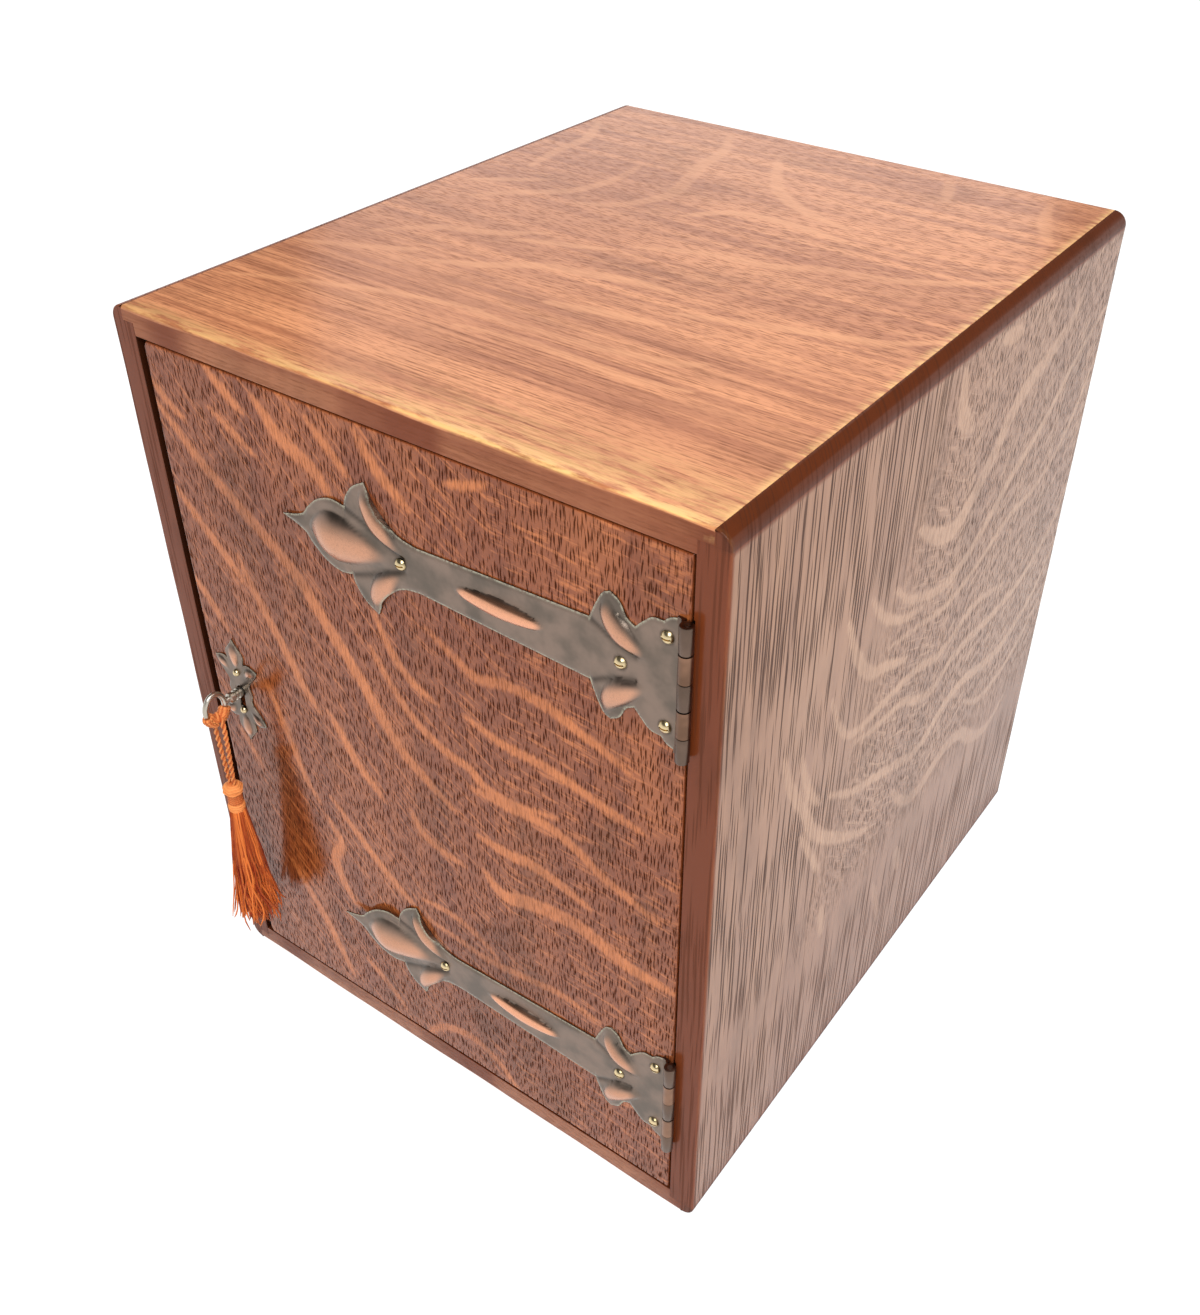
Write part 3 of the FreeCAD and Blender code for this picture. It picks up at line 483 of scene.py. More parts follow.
# flakes: the stroke's own distance with ragged edges, and small flecks that follow the same flow
ragged = noise(place, (0.9, 0.9, 5.5), 3.0, 0.6)
edge = plus(have["Flake"], times(less(ragged, 0.5), 4.0))
flake = between(edge, 8.2, 10.6)
fleckWide, fleckLong = oakLook["fleck"]
flow = put(oak, "ShaderNodeCombineXYZ", {0: times(have["Flow"], 1 / fleckWide),
                                         1: times(have["Along"], 1 / fleckLong)}).outputs[0]
fleck = put(oak, "ShaderNodeTexNoise", {"Vector": flow, "Scale": 1.0, "Detail": 3.0,
                                        "Roughness": 0.6}).outputs[0]
flowing = less(between(have["Flow"], 1.0, 2.0, 0.0, 0.7), have["Streak"], True)
fleck = times(between(fleck, 0.5, 0.68), flowing)
figure = times(larger(flake, fleck), between(cloud, 0.4, 0.68, 1.0, 0.68))
silky = between(noise(place, (1.2, 1.2, 10), 2.0), 0.3, 0.7, 0.0, 0.35)
silky = blend(silky, have["Silver"], ground)
color = blend(times(figure, 0.8), ground, silky)
glow = between(noise(place, (34, 34, 85), 2.0), 0.5, 0.78, 0.0, 0.22)
color = blend(glow, color, have["Silver"])
# the tone darkens the wood towards the stain colour: painted shade on the rolled-over edges and in the gaps
# round the door, and darker wood elsewhere
color = blend(times(have["Tone"], 1.3, True), color, oakLook["stainAndShade"])
# pores show less on flakes and where the tone darkens the wood, which is partly painted shade
shown = times(times(pore, have["Pores"]), less(1.0, times(figure, 0.7)))
shown = times(shown, less(1.0, times(have["Tone"], 0.7)))
color = blend(shown, color, have["Pore"])
smeared = between(noise(place, (26, 26, 48), 4.0, 0.62), 0.48, 0.75)
grime = times(smeared, have["Grime"])
color = blend(grime, color, oakLook["grime"])
# painted shade: the darkest tone, in the gaps round the door and on the right roundover, goes near black
color = blend(between(have["Tone"], 0.8, 1.0), color, oakLook["dirtAndShade"])
scuffed = between(noise(place, (3.2, 3.2, 16), 4.0, 0.65), 0.36, 0.6)
# worn edges turn golden; along the top's front edge and its joint with the right side this is also painted
# highlight
color = blend(times(have["Rubgleam"], scuffed), color, oakLook["rubgleam"])
dull = plus(times(shown, have["Dull"]), times(grime, 0.3))
dull = plus(dull, between(have["Tone"], 0.94, 1.0))
dull = plus(dull, times(have["Tone"], 0.45))
join(give, {
    "Color": color, "Roughness": between(cloud, 0.3, 0.8, 0.4, 0.55),
    "Varnish": less(oakLook["varnish"], dull, True),
    "Height": less(times(figure, 0.1), times(shown, 0.6))})

oakFinishes = dict(
    door=dict(grain="z", Ground=(0.315, 0.083, 0.023, 1), Deep=(0.22, 0.051, 0.014, 1),
              Silver=(0.80, 0.25, 0.07, 1), Pore=(0.045, 0.012, 0.006, 1),
              Pores=0.88, Grime=0.4, Dull=1.0, Fine=0.82, Dash=1.0),
    side=dict(grain="z", Ground=(0.40, 0.188, 0.093, 1), Deep=(0.32, 0.140, 0.068, 1),
              Silver=(0.62, 0.345, 0.195, 1), Pore=(0.075, 0.035, 0.024, 1),
              Pores=0.92, Grime=0.25, Dull=0.7, Fine=0.64, Dash=1.0),
    top=dict(grain="x", Ground=(0.77, 0.315, 0.138, 1), Deep=(0.44, 0.150, 0.062, 1),
             Silver=(0.78, 0.34, 0.15, 1), Pore=(0.14, 0.045, 0.022, 1),
             Pores=0.75, Grime=0.2, Dull=0.7, Fine=0.75, Dash=0.8),
    inside=dict(grain="z", Ground=(0.40, 0.17, 0.07, 1), Deep=(0.30, 0.11, 0.04, 1),
                Silver=(0.5, 0.24, 0.1, 1), Pore=(0.085, 0.035, 0.02, 1),
                Pores=0.6, Grime=0.3, Dull=0.95, Fine=1.0, Dash=1.0),
)


# The settings with a capital letter go to the group's sockets of the same name
def oakMaterial(name, grain, **paint):
    material, tree, shader = newMaterial(name, Specular_IOR_Level=0.0, Coat_IOR=1.5, Coat_Roughness=0.17)
    place = objectPlace(tree)
    if grain == "x":
        place = put(tree, "ShaderNodeMapping", {"Vector": place, "Rotation": (0, -math.pi / 2, 0)}).outputs[0]
    marks = {label: mark(tree, label.lower()) for label in oakMarks}
    got = put(tree, "ShaderNodeGroup", {"Place": place, **marks, **paint}, node_tree=oak).outputs
    join(shader.inputs, {"Base Color": got["Color"], "Roughness": got["Roughness"],
                         "Coat Weight": got["Varnish"]})
    bumped(shader, got["Height"], 0.5)
    return material


oakMaterials = {name: oakMaterial("oak" + name.capitalize(), **finish)
                for name, finish in oakFinishes.items()}


# Boards: an outer and an inner skin on one grid of lines, with a wall round their rims
def boardLines(low, high, step, steps=(), easeLow=0, easeHigh=0):
    lines = [np.linspace(low, high, int(round((high - low) / step)) + 1)]
    bend = 1 - np.cos(np.linspace(0, math.pi / 2, 8))
    lines += [low + easeLow * bend] if easeLow else []
    lines += [high - easeHigh * bend] if easeHigh else []
    lines += [np.array([s - 0.03, s + 0.03]) for s in steps]
    lines = np.unique(np.round(np.concatenate(lines), 3))
    return lines[(lines >= low) & (lines <= high)]


# How far a rounded edge of radius r has fallen at distance e from the edge
def easedDrop(e, r):
    away = np.clip(r - e, 0, r)
    return r - np.sqrt(np.maximum(r * r - away * away, 0))


# Distance from each spot u, v to a line of points, with the nearest run and the share along it
def nearestOnLine(u, v, line):
    step = np.diff(line, axis=0)
    away = np.stack([u, v], -1)[..., None, :] - line[:-1]
    t = np.clip((away * step).sum(-1) / (step * step).sum(-1), 0, 1)
    distance = np.linalg.norm(away - t[..., None] * step, axis=-1)
    nearest = distance.argmin(-1)
    nearDistance, share = (np.take_along_axis(a, nearest[..., None], -1)[..., 0] for a in (distance, t))
    return nearDistance, nearest, share


# Flake mark: ten millimetres plus the largest of half width x taper minus distance, over all strokes
def flakeMark(u, v, strokes):
    margin = 11
    most = np.full(u.shape, -10.0)
    for half, points in strokes:
        line = lineThrough(points, 6)
        spans = np.stack([line.min(0) - margin, line.max(0) + margin], -1)
        close = inWindow(u, v, *spans)
        distance, nearest, share = nearestOnLine(u[close], v[close], line)
        taper = 1 - np.abs(2 * (nearest + share) / (len(line) - 1) - 1) ** 3
        most[close] = np.maximum(most[close], half * (0.25 + 0.75 * taper) - distance)
    return np.maximum(0, 10 + most)


def buildBoard(name, body, frameAxes, outer, inner, material, replaces, marks, innerTone):
    rows, cols = outer.shape[:2]
    points = np.concatenate([outer, inner]).reshape(-1, 3) @ np.array(frameAxes, float)
    within = dict(marks, rubgleam=np.zeros((rows, cols)), tone=np.broadcast_to(innerTone, (rows, cols)))
    both = {key: np.concatenate([marks[key].ravel(), within[key].ravel()]) for key in marks}
    makePiece(name, body, points, boardFaces(rows, cols), material, [replaces], both)


# Ray flakes: half the width of a stroke and its points. On the door these are x and height.
doorFlakes = (
    (2.5, ((-109, 279), (-90, 260), (-68, 244), (-50, 230), (-38, 214), (-26, 198), (-10, 174), (3, 163),
           (16, 155))),
    (2.0, ((26, 149), (38, 148), (50, 149), (62, 147), (75, 143))),
    (1.6, ((-107, 244), (-98, 234), (-86, 222), (-79, 214))),
    (1.8, ((-80, 226), (-72, 208), (-62, 190), (-56, 178), (-49, 168))),
    (1.8, ((-44, 171), (-38, 162), (-32, 152), (-26, 146), (-20, 140))),
    (1.4, ((-7, 143), (-2, 134), (8, 130), (18, 129))),
    (3.0, ((28, 132), (36, 125), (50, 129), (70, 131), (90, 125), (110, 124))),
    (1.5, ((-17, 213), (-10, 202), (0, 190), (14, 182), (24, 180), (31, 175), (44, 174), (62, 178))),
    (1.7, ((24, 171), (40, 171), (58, 172), (70, 168), (80, 162), (92, 158), (103, 154))),
    (1.4, ((-13, 229), (-6, 214), (2, 206), (12, 202))),
    (1.6, ((24, 203), (40, 199), (60, 198), (80, 194), (97, 191))),
    (1.7, ((10, 233), (22, 226), (31, 222), (44, 225), (60, 224), (72, 220), (82, 217), (91, 213))),
    (1.6, ((-78, 299), (-70, 292), (-63, 287))),
    (2.4, ((-57, 295), (-46, 283), (-34, 277), (-26, 268))),
    (1.3, ((-33, 295), (-24, 286), (-16, 278))),
    (1.8, ((-12, 297), (-4, 286), (8, 276))),
    (1.0, ((24, 291), (32, 293), (40, 296))),
    (1.6, ((-51, 125), (-40, 114), (-28, 102), (-18, 94), (-9, 87))),
    (1.1, ((-7, 96), (8, 97), (22, 93), (32, 86))),
    (1.3, ((-4, 86), (14, 84), (28, 83), (46, 86), (62, 88), (78, 85))),
    (2.0, ((-55, 112), (-49, 101), (-54, 90), (-52, 78), (-45, 66))),
    (1.8, ((-83, 71), (-74, 56), (-66, 42), (-60, 28), (-55, 16))),
    (1.4, ((-45, 35), (-34, 27), (-24, 17))),
    (1.6, ((-11, 11), (-4, 20), (6, 25), (16, 26), (28, 20), (37, 10))),
    (1.5, ((-109, 206), (-102, 198), (-94, 186))),
    (1.2, ((-109, 287), (-101, 279), (-94, 275))),
    (1.2, ((-77, 168), (-70, 148), (-64, 128), (-58, 118))),
    (1.0, ((-100, 137), (-90, 120))),
    (0.9, ((-80, 284), (-60, 272))),
)
# on the sides: distance from the front edge, and height
sideFlakes = (
    (3.8, ((124, 249), (136, 240), (152, 233), (164, 236), (182, 249), (200, 266), (222, 273), (242, 280),
           (250, 288))),
    (2.0, ((110, 232), (124, 220), (144, 211), (160, 208), (176, 212), (192, 220), (208, 230), (232, 240),
           (258, 258), (288, 274))),
    (2.2, ((76, 238), (86, 218), (98, 204), (112, 198), (130, 190))),
    (1.5, ((92, 238), (104, 224), (120, 214), (140, 208))),
    (1.2, ((112, 206), (142, 200), (162, 196), (188, 200), (212, 208), (242, 210), (268, 224), (286, 250))),
    (1.6, ((70, 210), (78, 194), (90, 182), (112, 180), (142, 178), (160, 172), (176, 174), (192, 178),
           (212, 174), (224, 171))),
    (1.8, ((92, 176), (112, 171), (132, 168), (150, 158), (164, 155), (178, 160), (198, 160), (222, 158),
           (252, 161), (276, 174), (287, 190))),
    (2.2, ((78, 162), (96, 150), (116, 142), (136, 134), (152, 128), (164, 129), (180, 136), (196, 137),
           (212, 133), (236, 129), (256, 134), (272, 142), (287, 160))),
    (1.6, ((52, 198), (60, 178), (70, 164))),
    (2.2, ((40, 206), (46, 190), (58, 170), (68, 152), (82, 138), (100, 124), (118, 114))),
    (1.4, ((202, 122), (222, 110), (242, 110), (262, 116), (282, 130))),
    (2.8, ((136, 120), (150, 104), (166, 98), (188, 104), (208, 100), (222, 88), (242, 80), (260, 88))),
    (1.4, ((58, 158), (76, 126))),
    (3.5, ((142, 300), (146, 282), (158, 272))),
    (3.0, ((172, 300), (190, 296))),
    (2.2, ((82, 102), (86, 82))),
    (2.6, ((152, 74), (158, 58))),
    (1.6, ((132, 70), (144, 38))),
)
# on the top: x, and distance from the front edge
topFlakes = (
    (1.2, ((-110, 40), (-80, 52), (-50, 62), (-18, 68))),
    (1.6, ((-114, 76), (-94, 84), (-70, 96))),
    (2.0, ((-98, 100), (-82, 116), (-62, 124), (-44, 136))),
    (2.4, ((-62, 90), (-44, 98), (-26, 110), (-6, 114), (10, 118), (24, 118))),
    (1.8, ((-50, 124), (-34, 130), (-16, 136))),
    (2.4, ((-10, 144), (14, 154), (40, 158), (54, 166), (80, 172), (100, 184), (115, 196))),
    (2.0, ((34, 104), (54, 110), (80, 118), (100, 124), (115, 136))),
    (2.0, ((-6, 86), (14, 90), (36, 94))),
    (1.5, ((-30, 66), (-2, 66), (30, 68), (54, 72), (64, 78))),
    (1.4, ((-18, 54), (10, 58), (50, 56), (70, 60))),
    (2.2, ((-112, 258), (-102, 236), (-102, 216), (-98, 192))),
    (2.2, ((-62, 220), (-60, 200), (-66, 178), (-84, 162), (-94, 150))),
    (2.6, ((-54, 278), (-44, 256), (-42, 238), (-36, 216), (-32, 196), (-42, 176), (-56, 168))),
    (2.4, ((-20, 262), (-8, 240), (4, 224), (24, 212), (44, 206))),
    (2.0, ((-16, 180), (0, 196), (20, 198), (48, 194))),
    (1.5, ((-80, 184), (-108, 164))),
    (2.0, ((94, 278), (100, 256), (110, 238))),
    (2.0, ((50, 280), (60, 256))),
)

case = dict(half=122.0, inner=111.5, joint=116.6, roundover=5.4, height=310.0, thick=9.5, lip=5.0, arris=0.7,
            back=144.0, rebate=138.0, shelf=(150.0, 158.0), shelfFront=-114.0, housing=115.0, doorDepth=12.6)
hinge = dict(x=111.0, y=-146.6, heights=(255.0, 64.0), half=24.4, gain=111.93, gainDepth=-127.0)
lock = dict(keyX=-93.4, keyZ=158.0, plate=(-74.4, 139.0, 177.0), recess=1.55, edgePlate=1.6,
            mortiseX=119.5, mortiseY=(-138.25, -132.25), mortiseZ=(143.5, 156.8))
frontAxes = ((1, 0, 0), (0, 0, 1), (0, -1, 0))     # a face's x, its height and its rise towards the front
flowStart = 1000                                   # keeps the flow of a figured board clear of zero
# Tones that darken the wood. The right and left roundovers, of different strength, and the gaps behind the
# door are painted shade.
sideTones = dict(rim=0.84, right=0.9, left=0.72, arris=0.76, foot=0.45, low=0.24, gap=0.95)
lidTones = dict(rim=0.48, smudge=0.3, left=0.12, gap=0.9)


# Side: the outer skin is the flat face with its long edges rolled over,
# set back by the worn arris along the normal
def buildSide(name, sign):
    steps = [case["lip"], case["height"] - case["lip"], *case["shelf"]]
    cuts = [case["rebate"], case["shelfFront"]]
    if sign > 0:
        steps += [h + e for h in hinge["heights"] for e in (-hinge["half"] - 0.1, hinge["half"] + 0.1)]
        cuts += [hinge["gainDepth"]]
    else:
        steps += lock["mortiseZ"]
        cuts += lock["mortiseY"]
    r = case["roundover"]
    yLines = boardLines(-case["back"], case["back"], 1.8, cuts, case["arris"], case["arris"])
    zLines = boardLines(0, case["height"], 1.8, steps, r, r)
    y, z = np.meshgrid(yLines, zLines, indexing="ij")
    rise = np.minimum(z, case["height"] - z)
    turn = np.arcsin(np.clip((r - rise) / r, 0, 1)) * np.sign(z - case["height"] / 2)
    away = np.minimum(y + case["back"], case["back"] - y)
    wear = case["arris"] * (1 + 0.35 * np.sin(z / 37) * np.sin(z / 11 + 1))
    drop = easedDrop(away, wear)
    x = case["half"] - easedDrop(rise, r) + 0.02 - drop * np.cos(turn)
    outer = np.stack([y, z - drop * np.sin(turn), x], -1)
    within = np.full(y.shape, case["inner"])
    if sign > 0:
        for h in hinge["heights"]:
            within[(y < hinge["gainDepth"]) & (np.abs(z - h) < hinge["half"] + 0.1)] = hinge["gain"]
    else:
        within[inWindow(y, z, lock["mortiseY"], lock["mortiseZ"])] = lock["mortiseX"]
    within[(z > case["shelf"][0]) & (z < case["shelf"][1]) & (y > case["shelfFront"])] = case["housing"]
    within[(y > case["rebate"]) | (z < case["lip"]) | (z > case["height"] - case["lip"])] = case["joint"]
    within = np.minimum(within, x - 0.03)
    inner = np.stack([y, z, within], -1)
    axes = ((0, 1, 0), (0, 0, 1), (1, 0, 0))
    if sign < 0:
        outer[..., 0] *= -1
        inner[..., 0] *= -1
        outer, inner, away = outer[::-1], inner[::-1], away[::-1]
        axes = ((0, -1, 0), (0, 0, 1), (-1, 0, 0))
    fromFront = outer[..., 0] * axes[0][1] + case["back"]
    dip = np.interp(fromFront, (0, 40, 80, 118, 160, 208, 258, 288), (150, 98, 48, 18, 0, 22, 50, 66))
    worn = smoothStep(0.02, 0.3, away) * np.maximum(1 - away / 1.6, 0) * 0.05
    rim = sideTones["rim"] * (away < 0.01)
    # painted shade on the rolled-over long edges, stronger on the right side than the left; also the rim, the
    # front arris and the wood darker towards the bottom
    rolled = np.maximum(smoothStep(6.2, 5.3, rise) * sideTones["right" if sign > 0 else "left"], rim)
    onArris = (np.minimum(away, fromFront) < 0.9) * (fromFront < 9)
    foot = np.maximum(sideTones["foot"] * smoothStep(34, 2, z), sideTones["low"] * smoothStep(160, 40, z))
    rolled = np.maximum(np.maximum(rolled, sideTones["arris"] * onArris), foot)
    # painted shade in the gap behind the door, on the inner skin
    gap = np.where(away < 0.01, rim, sideTones["gap"] * (fromFront < case["doorDepth"]))
    streak = np.maximum(smoothStep(112, 66, fromFront - 0.33 * (z - 150)), smoothStep(120, 70, z))
    figureZ = z if sign > 0 else case["height"] - z
    marks = dict(flake=flakeMark(fromFront, figureZ, sideFlakes), flow=flowStart + figureZ - dip,
                 along=fromFront, rubgleam=worn, tone=rolled, streak=streak)
    buildBoard(name, "case", axes, outer, inner, oakMaterials["side"],
               "right_side" if sign > 0 else "left_side", marks, gap)


# Top and bottom: flat skins with worn front and back arrises, and tongues thinner than the middle
def buildLid(name, sign):
    xLines = boardLines(-case["joint"], case["joint"], 1.8, (-case["inner"], case["inner"]), 0.35, 0.35)
    yLines = boardLines(-case["back"], case["back"], 1.8, (case["rebate"],), 1.4, 0.8)
    x, y = np.meshgrid(xLines, yLines, indexing="ij")
    toFront = y + case["back"]
    toBack = case["back"] - y
    toSide = case["joint"] - np.abs(x)
    smudge = 0.5 + 0.25 * np.sin(x / 17 + 1) + 0.25 * np.sin(x / 7.3) * np.sin(x / 31)
    rim = (toFront < 0.01) * (lidTones["rim"] + lidTones["smudge"] * smoothStep(0.5, 0.8, smudge))
    # painted shade in the gap above and below the door, on the inner skin
    gap = np.where(toFront < 0.01, rim, lidTones["gap"] * (toFront < case["doorDepth"]))
    frontWear = 1.1 * (1 + 0.25 * np.sin(x / 23) + 0.2 * np.sin(x / 9))
    level = case["height"] - easedDrop(toFront, frontWear) - easedDrop(toBack, 0.7) - easedDrop(toSide, 0.25)
    under = np.full(x.shape, case["height"] - case["thick"])
    under[(np.abs(x) > case["inner"]) | (y > case["rebate"])] = case["height"] - case["lip"]
    outer = np.stack([x, y, level], -1)
    inner = np.stack([x, y, under], -1)
    axes = ((1, 0, 0), (0, 1, 0), (0, 0, 1))
    # worn front edge, and painted highlight: a band behind the front edge that brightens towards the right,
    # and a line along the joint with the right side
    edge = smoothStep(0.02, 0.4, toFront) * np.maximum(1 - toFront / 9.0, 0)
    edge = edge * (0.5 + 0.5 * smoothStep(-120, 110, x))
    edge = np.maximum(edge, 0.5 * smoothStep(34, 0, toFront) * smoothStep(-60, 110, x) * (toFront > 0.3))
    edge = np.maximum(edge, np.maximum(1 - toSide / 3.0, 0) * smoothStep(60, 116, x) * 0.7)
    tone = np.maximum(rim, lidTones["left"] * smoothStep(60, -80, x) * smoothStep(20, 90, toFront))
    marks = dict(flake=flakeMark(x, toFront, topFlakes), flow=flowStart + toFront - 0.35 * x, along=x,
                 rubgleam=edge, tone=tone, streak=0.5 * smoothStep(140, 60, toFront))
    if sign < 0:
        outer[..., 2] = case["height"] - outer[..., 2]
        inner[..., 2] = case["height"] - inner[..., 2]
        outer, inner = outer[:, ::-1], inner[:, ::-1]
        rim, gap = rim[:, ::-1], gap[:, ::-1]
        marks = {key: np.zeros(x.shape) for key in marks} | {"tone": rim}
    buildBoard(name, "case", axes, outer, inner, oakMaterials["top"],
               "top_board" if sign > 0 else "bottom_board", marks, gap)


# Door: flat skins, all four front edges eased, the corners at the free edge rounded
# by mapping a square onto a disc
def buildDoor():
    door = dict(x=(-108.5, 110.5), z=(10.0, 299.9), thick=12.0, arris=0.95, corner=2.5)
    lockX, lockLow, lockHigh = lock["plate"]
    hole = dict(x=(lock["keyX"] - 3.2, lock["keyX"] + 3.2), z=(lock["keyZ"] - 8.6, lock["keyZ"] + 3.2),
                depth=8.0)
    xLines = boardLines(*door["x"], 1.6, (lockX, *hole["x"]), door["corner"], door["arris"])
    zLines = boardLines(*door["z"], 1.6, (lockLow, lockHigh, *hole["z"]), door["corner"], door["corner"])
    x, z = np.meshgrid(xLines, zLines, indexing="ij")
    toLeft, toRight = x - door["x"][0], door["x"][1] - x
    toEnd = np.minimum(z - door["z"][0], door["z"][1] - z)
    a = np.clip(1 - toLeft / door["corner"], 0, 1)
    b = np.clip(1 - toEnd / door["corner"], 0, 1)
    pull = np.maximum(a, b) / np.maximum(np.hypot(a, b), 1e-6)
    both = (a > 0) & (b > 0)
    xs = np.where(both, x + (1 - pull) * a * door["corner"], x)
    zs = np.where(both, z - np.sign(z - 150) * (1 - pull) * b * door["corner"], z)
    nearest = np.minimum(np.minimum(np.where(both, door["corner"] * (1 - np.maximum(a, b)), 9), toLeft),
                         np.minimum(toRight, toEnd))
    wear = door["arris"] * (1 + 0.3 * np.sin(z / 31 + x / 40))
    face = -front - easedDrop(nearest, wear)
    face[inWindow(x, z, hole["x"], hole["z"])] -= hole["depth"]
    behind = np.full(x.shape, -front - door["thick"])
    locked = (x < lockX) & (z > lockLow) & (z < lockHigh)
    behind[locked] += lock["recess"]
    back = xs.copy()
    back[locked & (toLeft < lock["edgePlate"])] = door["x"][0] + lock["edgePlate"]
    outer = np.stack([xs, zs, face], -1)
    inner = np.stack([back, zs, behind], -1)
    lean = np.interp(x, (-120, 0, 40, 120), (0, 118, 140, 146))
    # painted shade in the gap round the door: its rim on the front and its edge faces go dark
    atEdge = 1.0 * (nearest < 0.3)
    marks = dict(flake=flakeMark(x, z, doorFlakes), flow=flowStart + z + lean, along=x, rubgleam=np.zeros(x.shape),
                 tone=0.6 * atEdge, streak=np.zeros(x.shape))
    buildBoard("doorBoard", "door", frontAxes, outer, inner, oakMaterials["door"], "door_panel",
               marks, atEdge)


buildSide("rightSide", 1)
buildSide("leftSide", -1)
buildLid("topBoard", 1)
buildLid("bottomBoard", -1)
buildDoor()
print("stage: oak boards")

# Metals: worn patina, brighter where the relief stands proud, with painted highlights and painted shade on
# the straps and escutcheon
metalLook = dict(shadepatina=(0.022, 0.019, 0.016, 1), edge=(0.40, 0.38, 0.29, 1))
metal, have, give = newGroup(
    "wornMetal",
    dict(Vector=("Place",), Color=("Dark", "Mid", "Bright"), Float=("Proud", "Polish", "Shadepatina", "Edge")),
    dict(Color=("Color",), Float=("Roughness", "Height")))
place = have["Place"]
patches = noise(place, (13, 13, 13), 3.0, 0.55)
specks = noise(place, (0.7, 0.7, 0.7), 3.0, 0.6)
scratch = noise(place, (6.0, 6.0, 0.5), 2.0, 0.5)
color = blend(between(patches, 0.32, 0.68), have["Dark"], have["Mid"])
# bright metal on proud relief: rubbed wear, and on the straps and escutcheon also painted highlight on slopes
# that face down
rubbedAndGlint = times(have["Proud"], between(specks, 0.25, 0.6, 0.78, 1.0))
color = blend(rubbedAndGlint, color, have["Bright"])
color = blend(between(specks, 0.62, 0.75, 0.0, 0.3), color, have["Dark"])
# painted shade and dark patina: darker where the mark is, on slopes that face up, in grooves, round screws
# and on the door's knuckles
color = blend(have["Shadepatina"], color, metalLook["shadepatina"])
pale = times(have["Edge"], between(specks, 0.35, 0.6))
color = blend(pale, color, metalLook["edge"])
rough = less(between(patches, 0.2, 0.8, 0.27, 0.42), times(rubbedAndGlint, have["Polish"]))
height = plus(times(patches, 0.6), times(scratch, 0.25))
join(give, {"Color": color, "Roughness": rough, "Height": height})


def metalMaterial(name, proudFrom=None, **paint):
    material, tree, shader = newMaterial(name, Metallic=1.0)
    place = objectPlace(tree)
    proud = mark(tree, "copper")
    if proudFrom:                                  # distance in front of the door's face, in millimetres
        depth = put(tree, "ShaderNodeSeparateXYZ", {0: place}).outputs["Y"]
        low, high = ((front - d) * mm for d in proudFrom)
        proud = between(depth, low, high)
    marks = {label: mark(tree, label.lower()) for label in ("Shadepatina", "Edge")}
    got = put(tree, "ShaderNodeGroup", {"Place": place, "Proud": proud, **marks, **paint},
              node_tree=metal).outputs
    join(shader.inputs, {"Base Color": got["Color"], "Roughness": got["Roughness"]})
    bumped(shader, got["Height"], 0.15)
    return material


metalFinishes = dict(
    dark_copper=dict(name="patinaCopper", Dark=(0.135, 0.108, 0.087, 1), Mid=(0.25, 0.183, 0.145, 1),
                     Bright=(0.80, 0.385, 0.23, 1), Polish=0.12),
    bright_copper=dict(name="wornCopper", Dark=(0.15, 0.085, 0.055, 1), Mid=(0.30, 0.165, 0.105, 1),
                       Bright=(0.85, 0.45, 0.3, 1), Polish=0.1),
    brass=dict(name="agedBrass", Dark=(0.17, 0.13, 0.065, 1), Mid=(0.38, 0.29, 0.15, 1),
               Bright=(0.72, 0.57, 0.33, 1), Polish=0.15, proudFrom=(0.6, 1.8)),
    iron=dict(name="darkIron", Dark=(0.12, 0.11, 0.10, 1), Mid=(0.28, 0.26, 0.24, 1),
              Bright=(0.5, 0.48, 0.45, 1), Polish=0.1),
    nickel=dict(name="paleNickel", Dark=(0.45, 0.41, 0.34, 1), Mid=(0.72, 0.68, 0.60, 1),
                Bright=(0.85, 0.82, 0.75, 1), Polish=0.1),
)
bySlot = {slot: metalMaterial(**finish) for slot, finish in metalFinishes.items()}

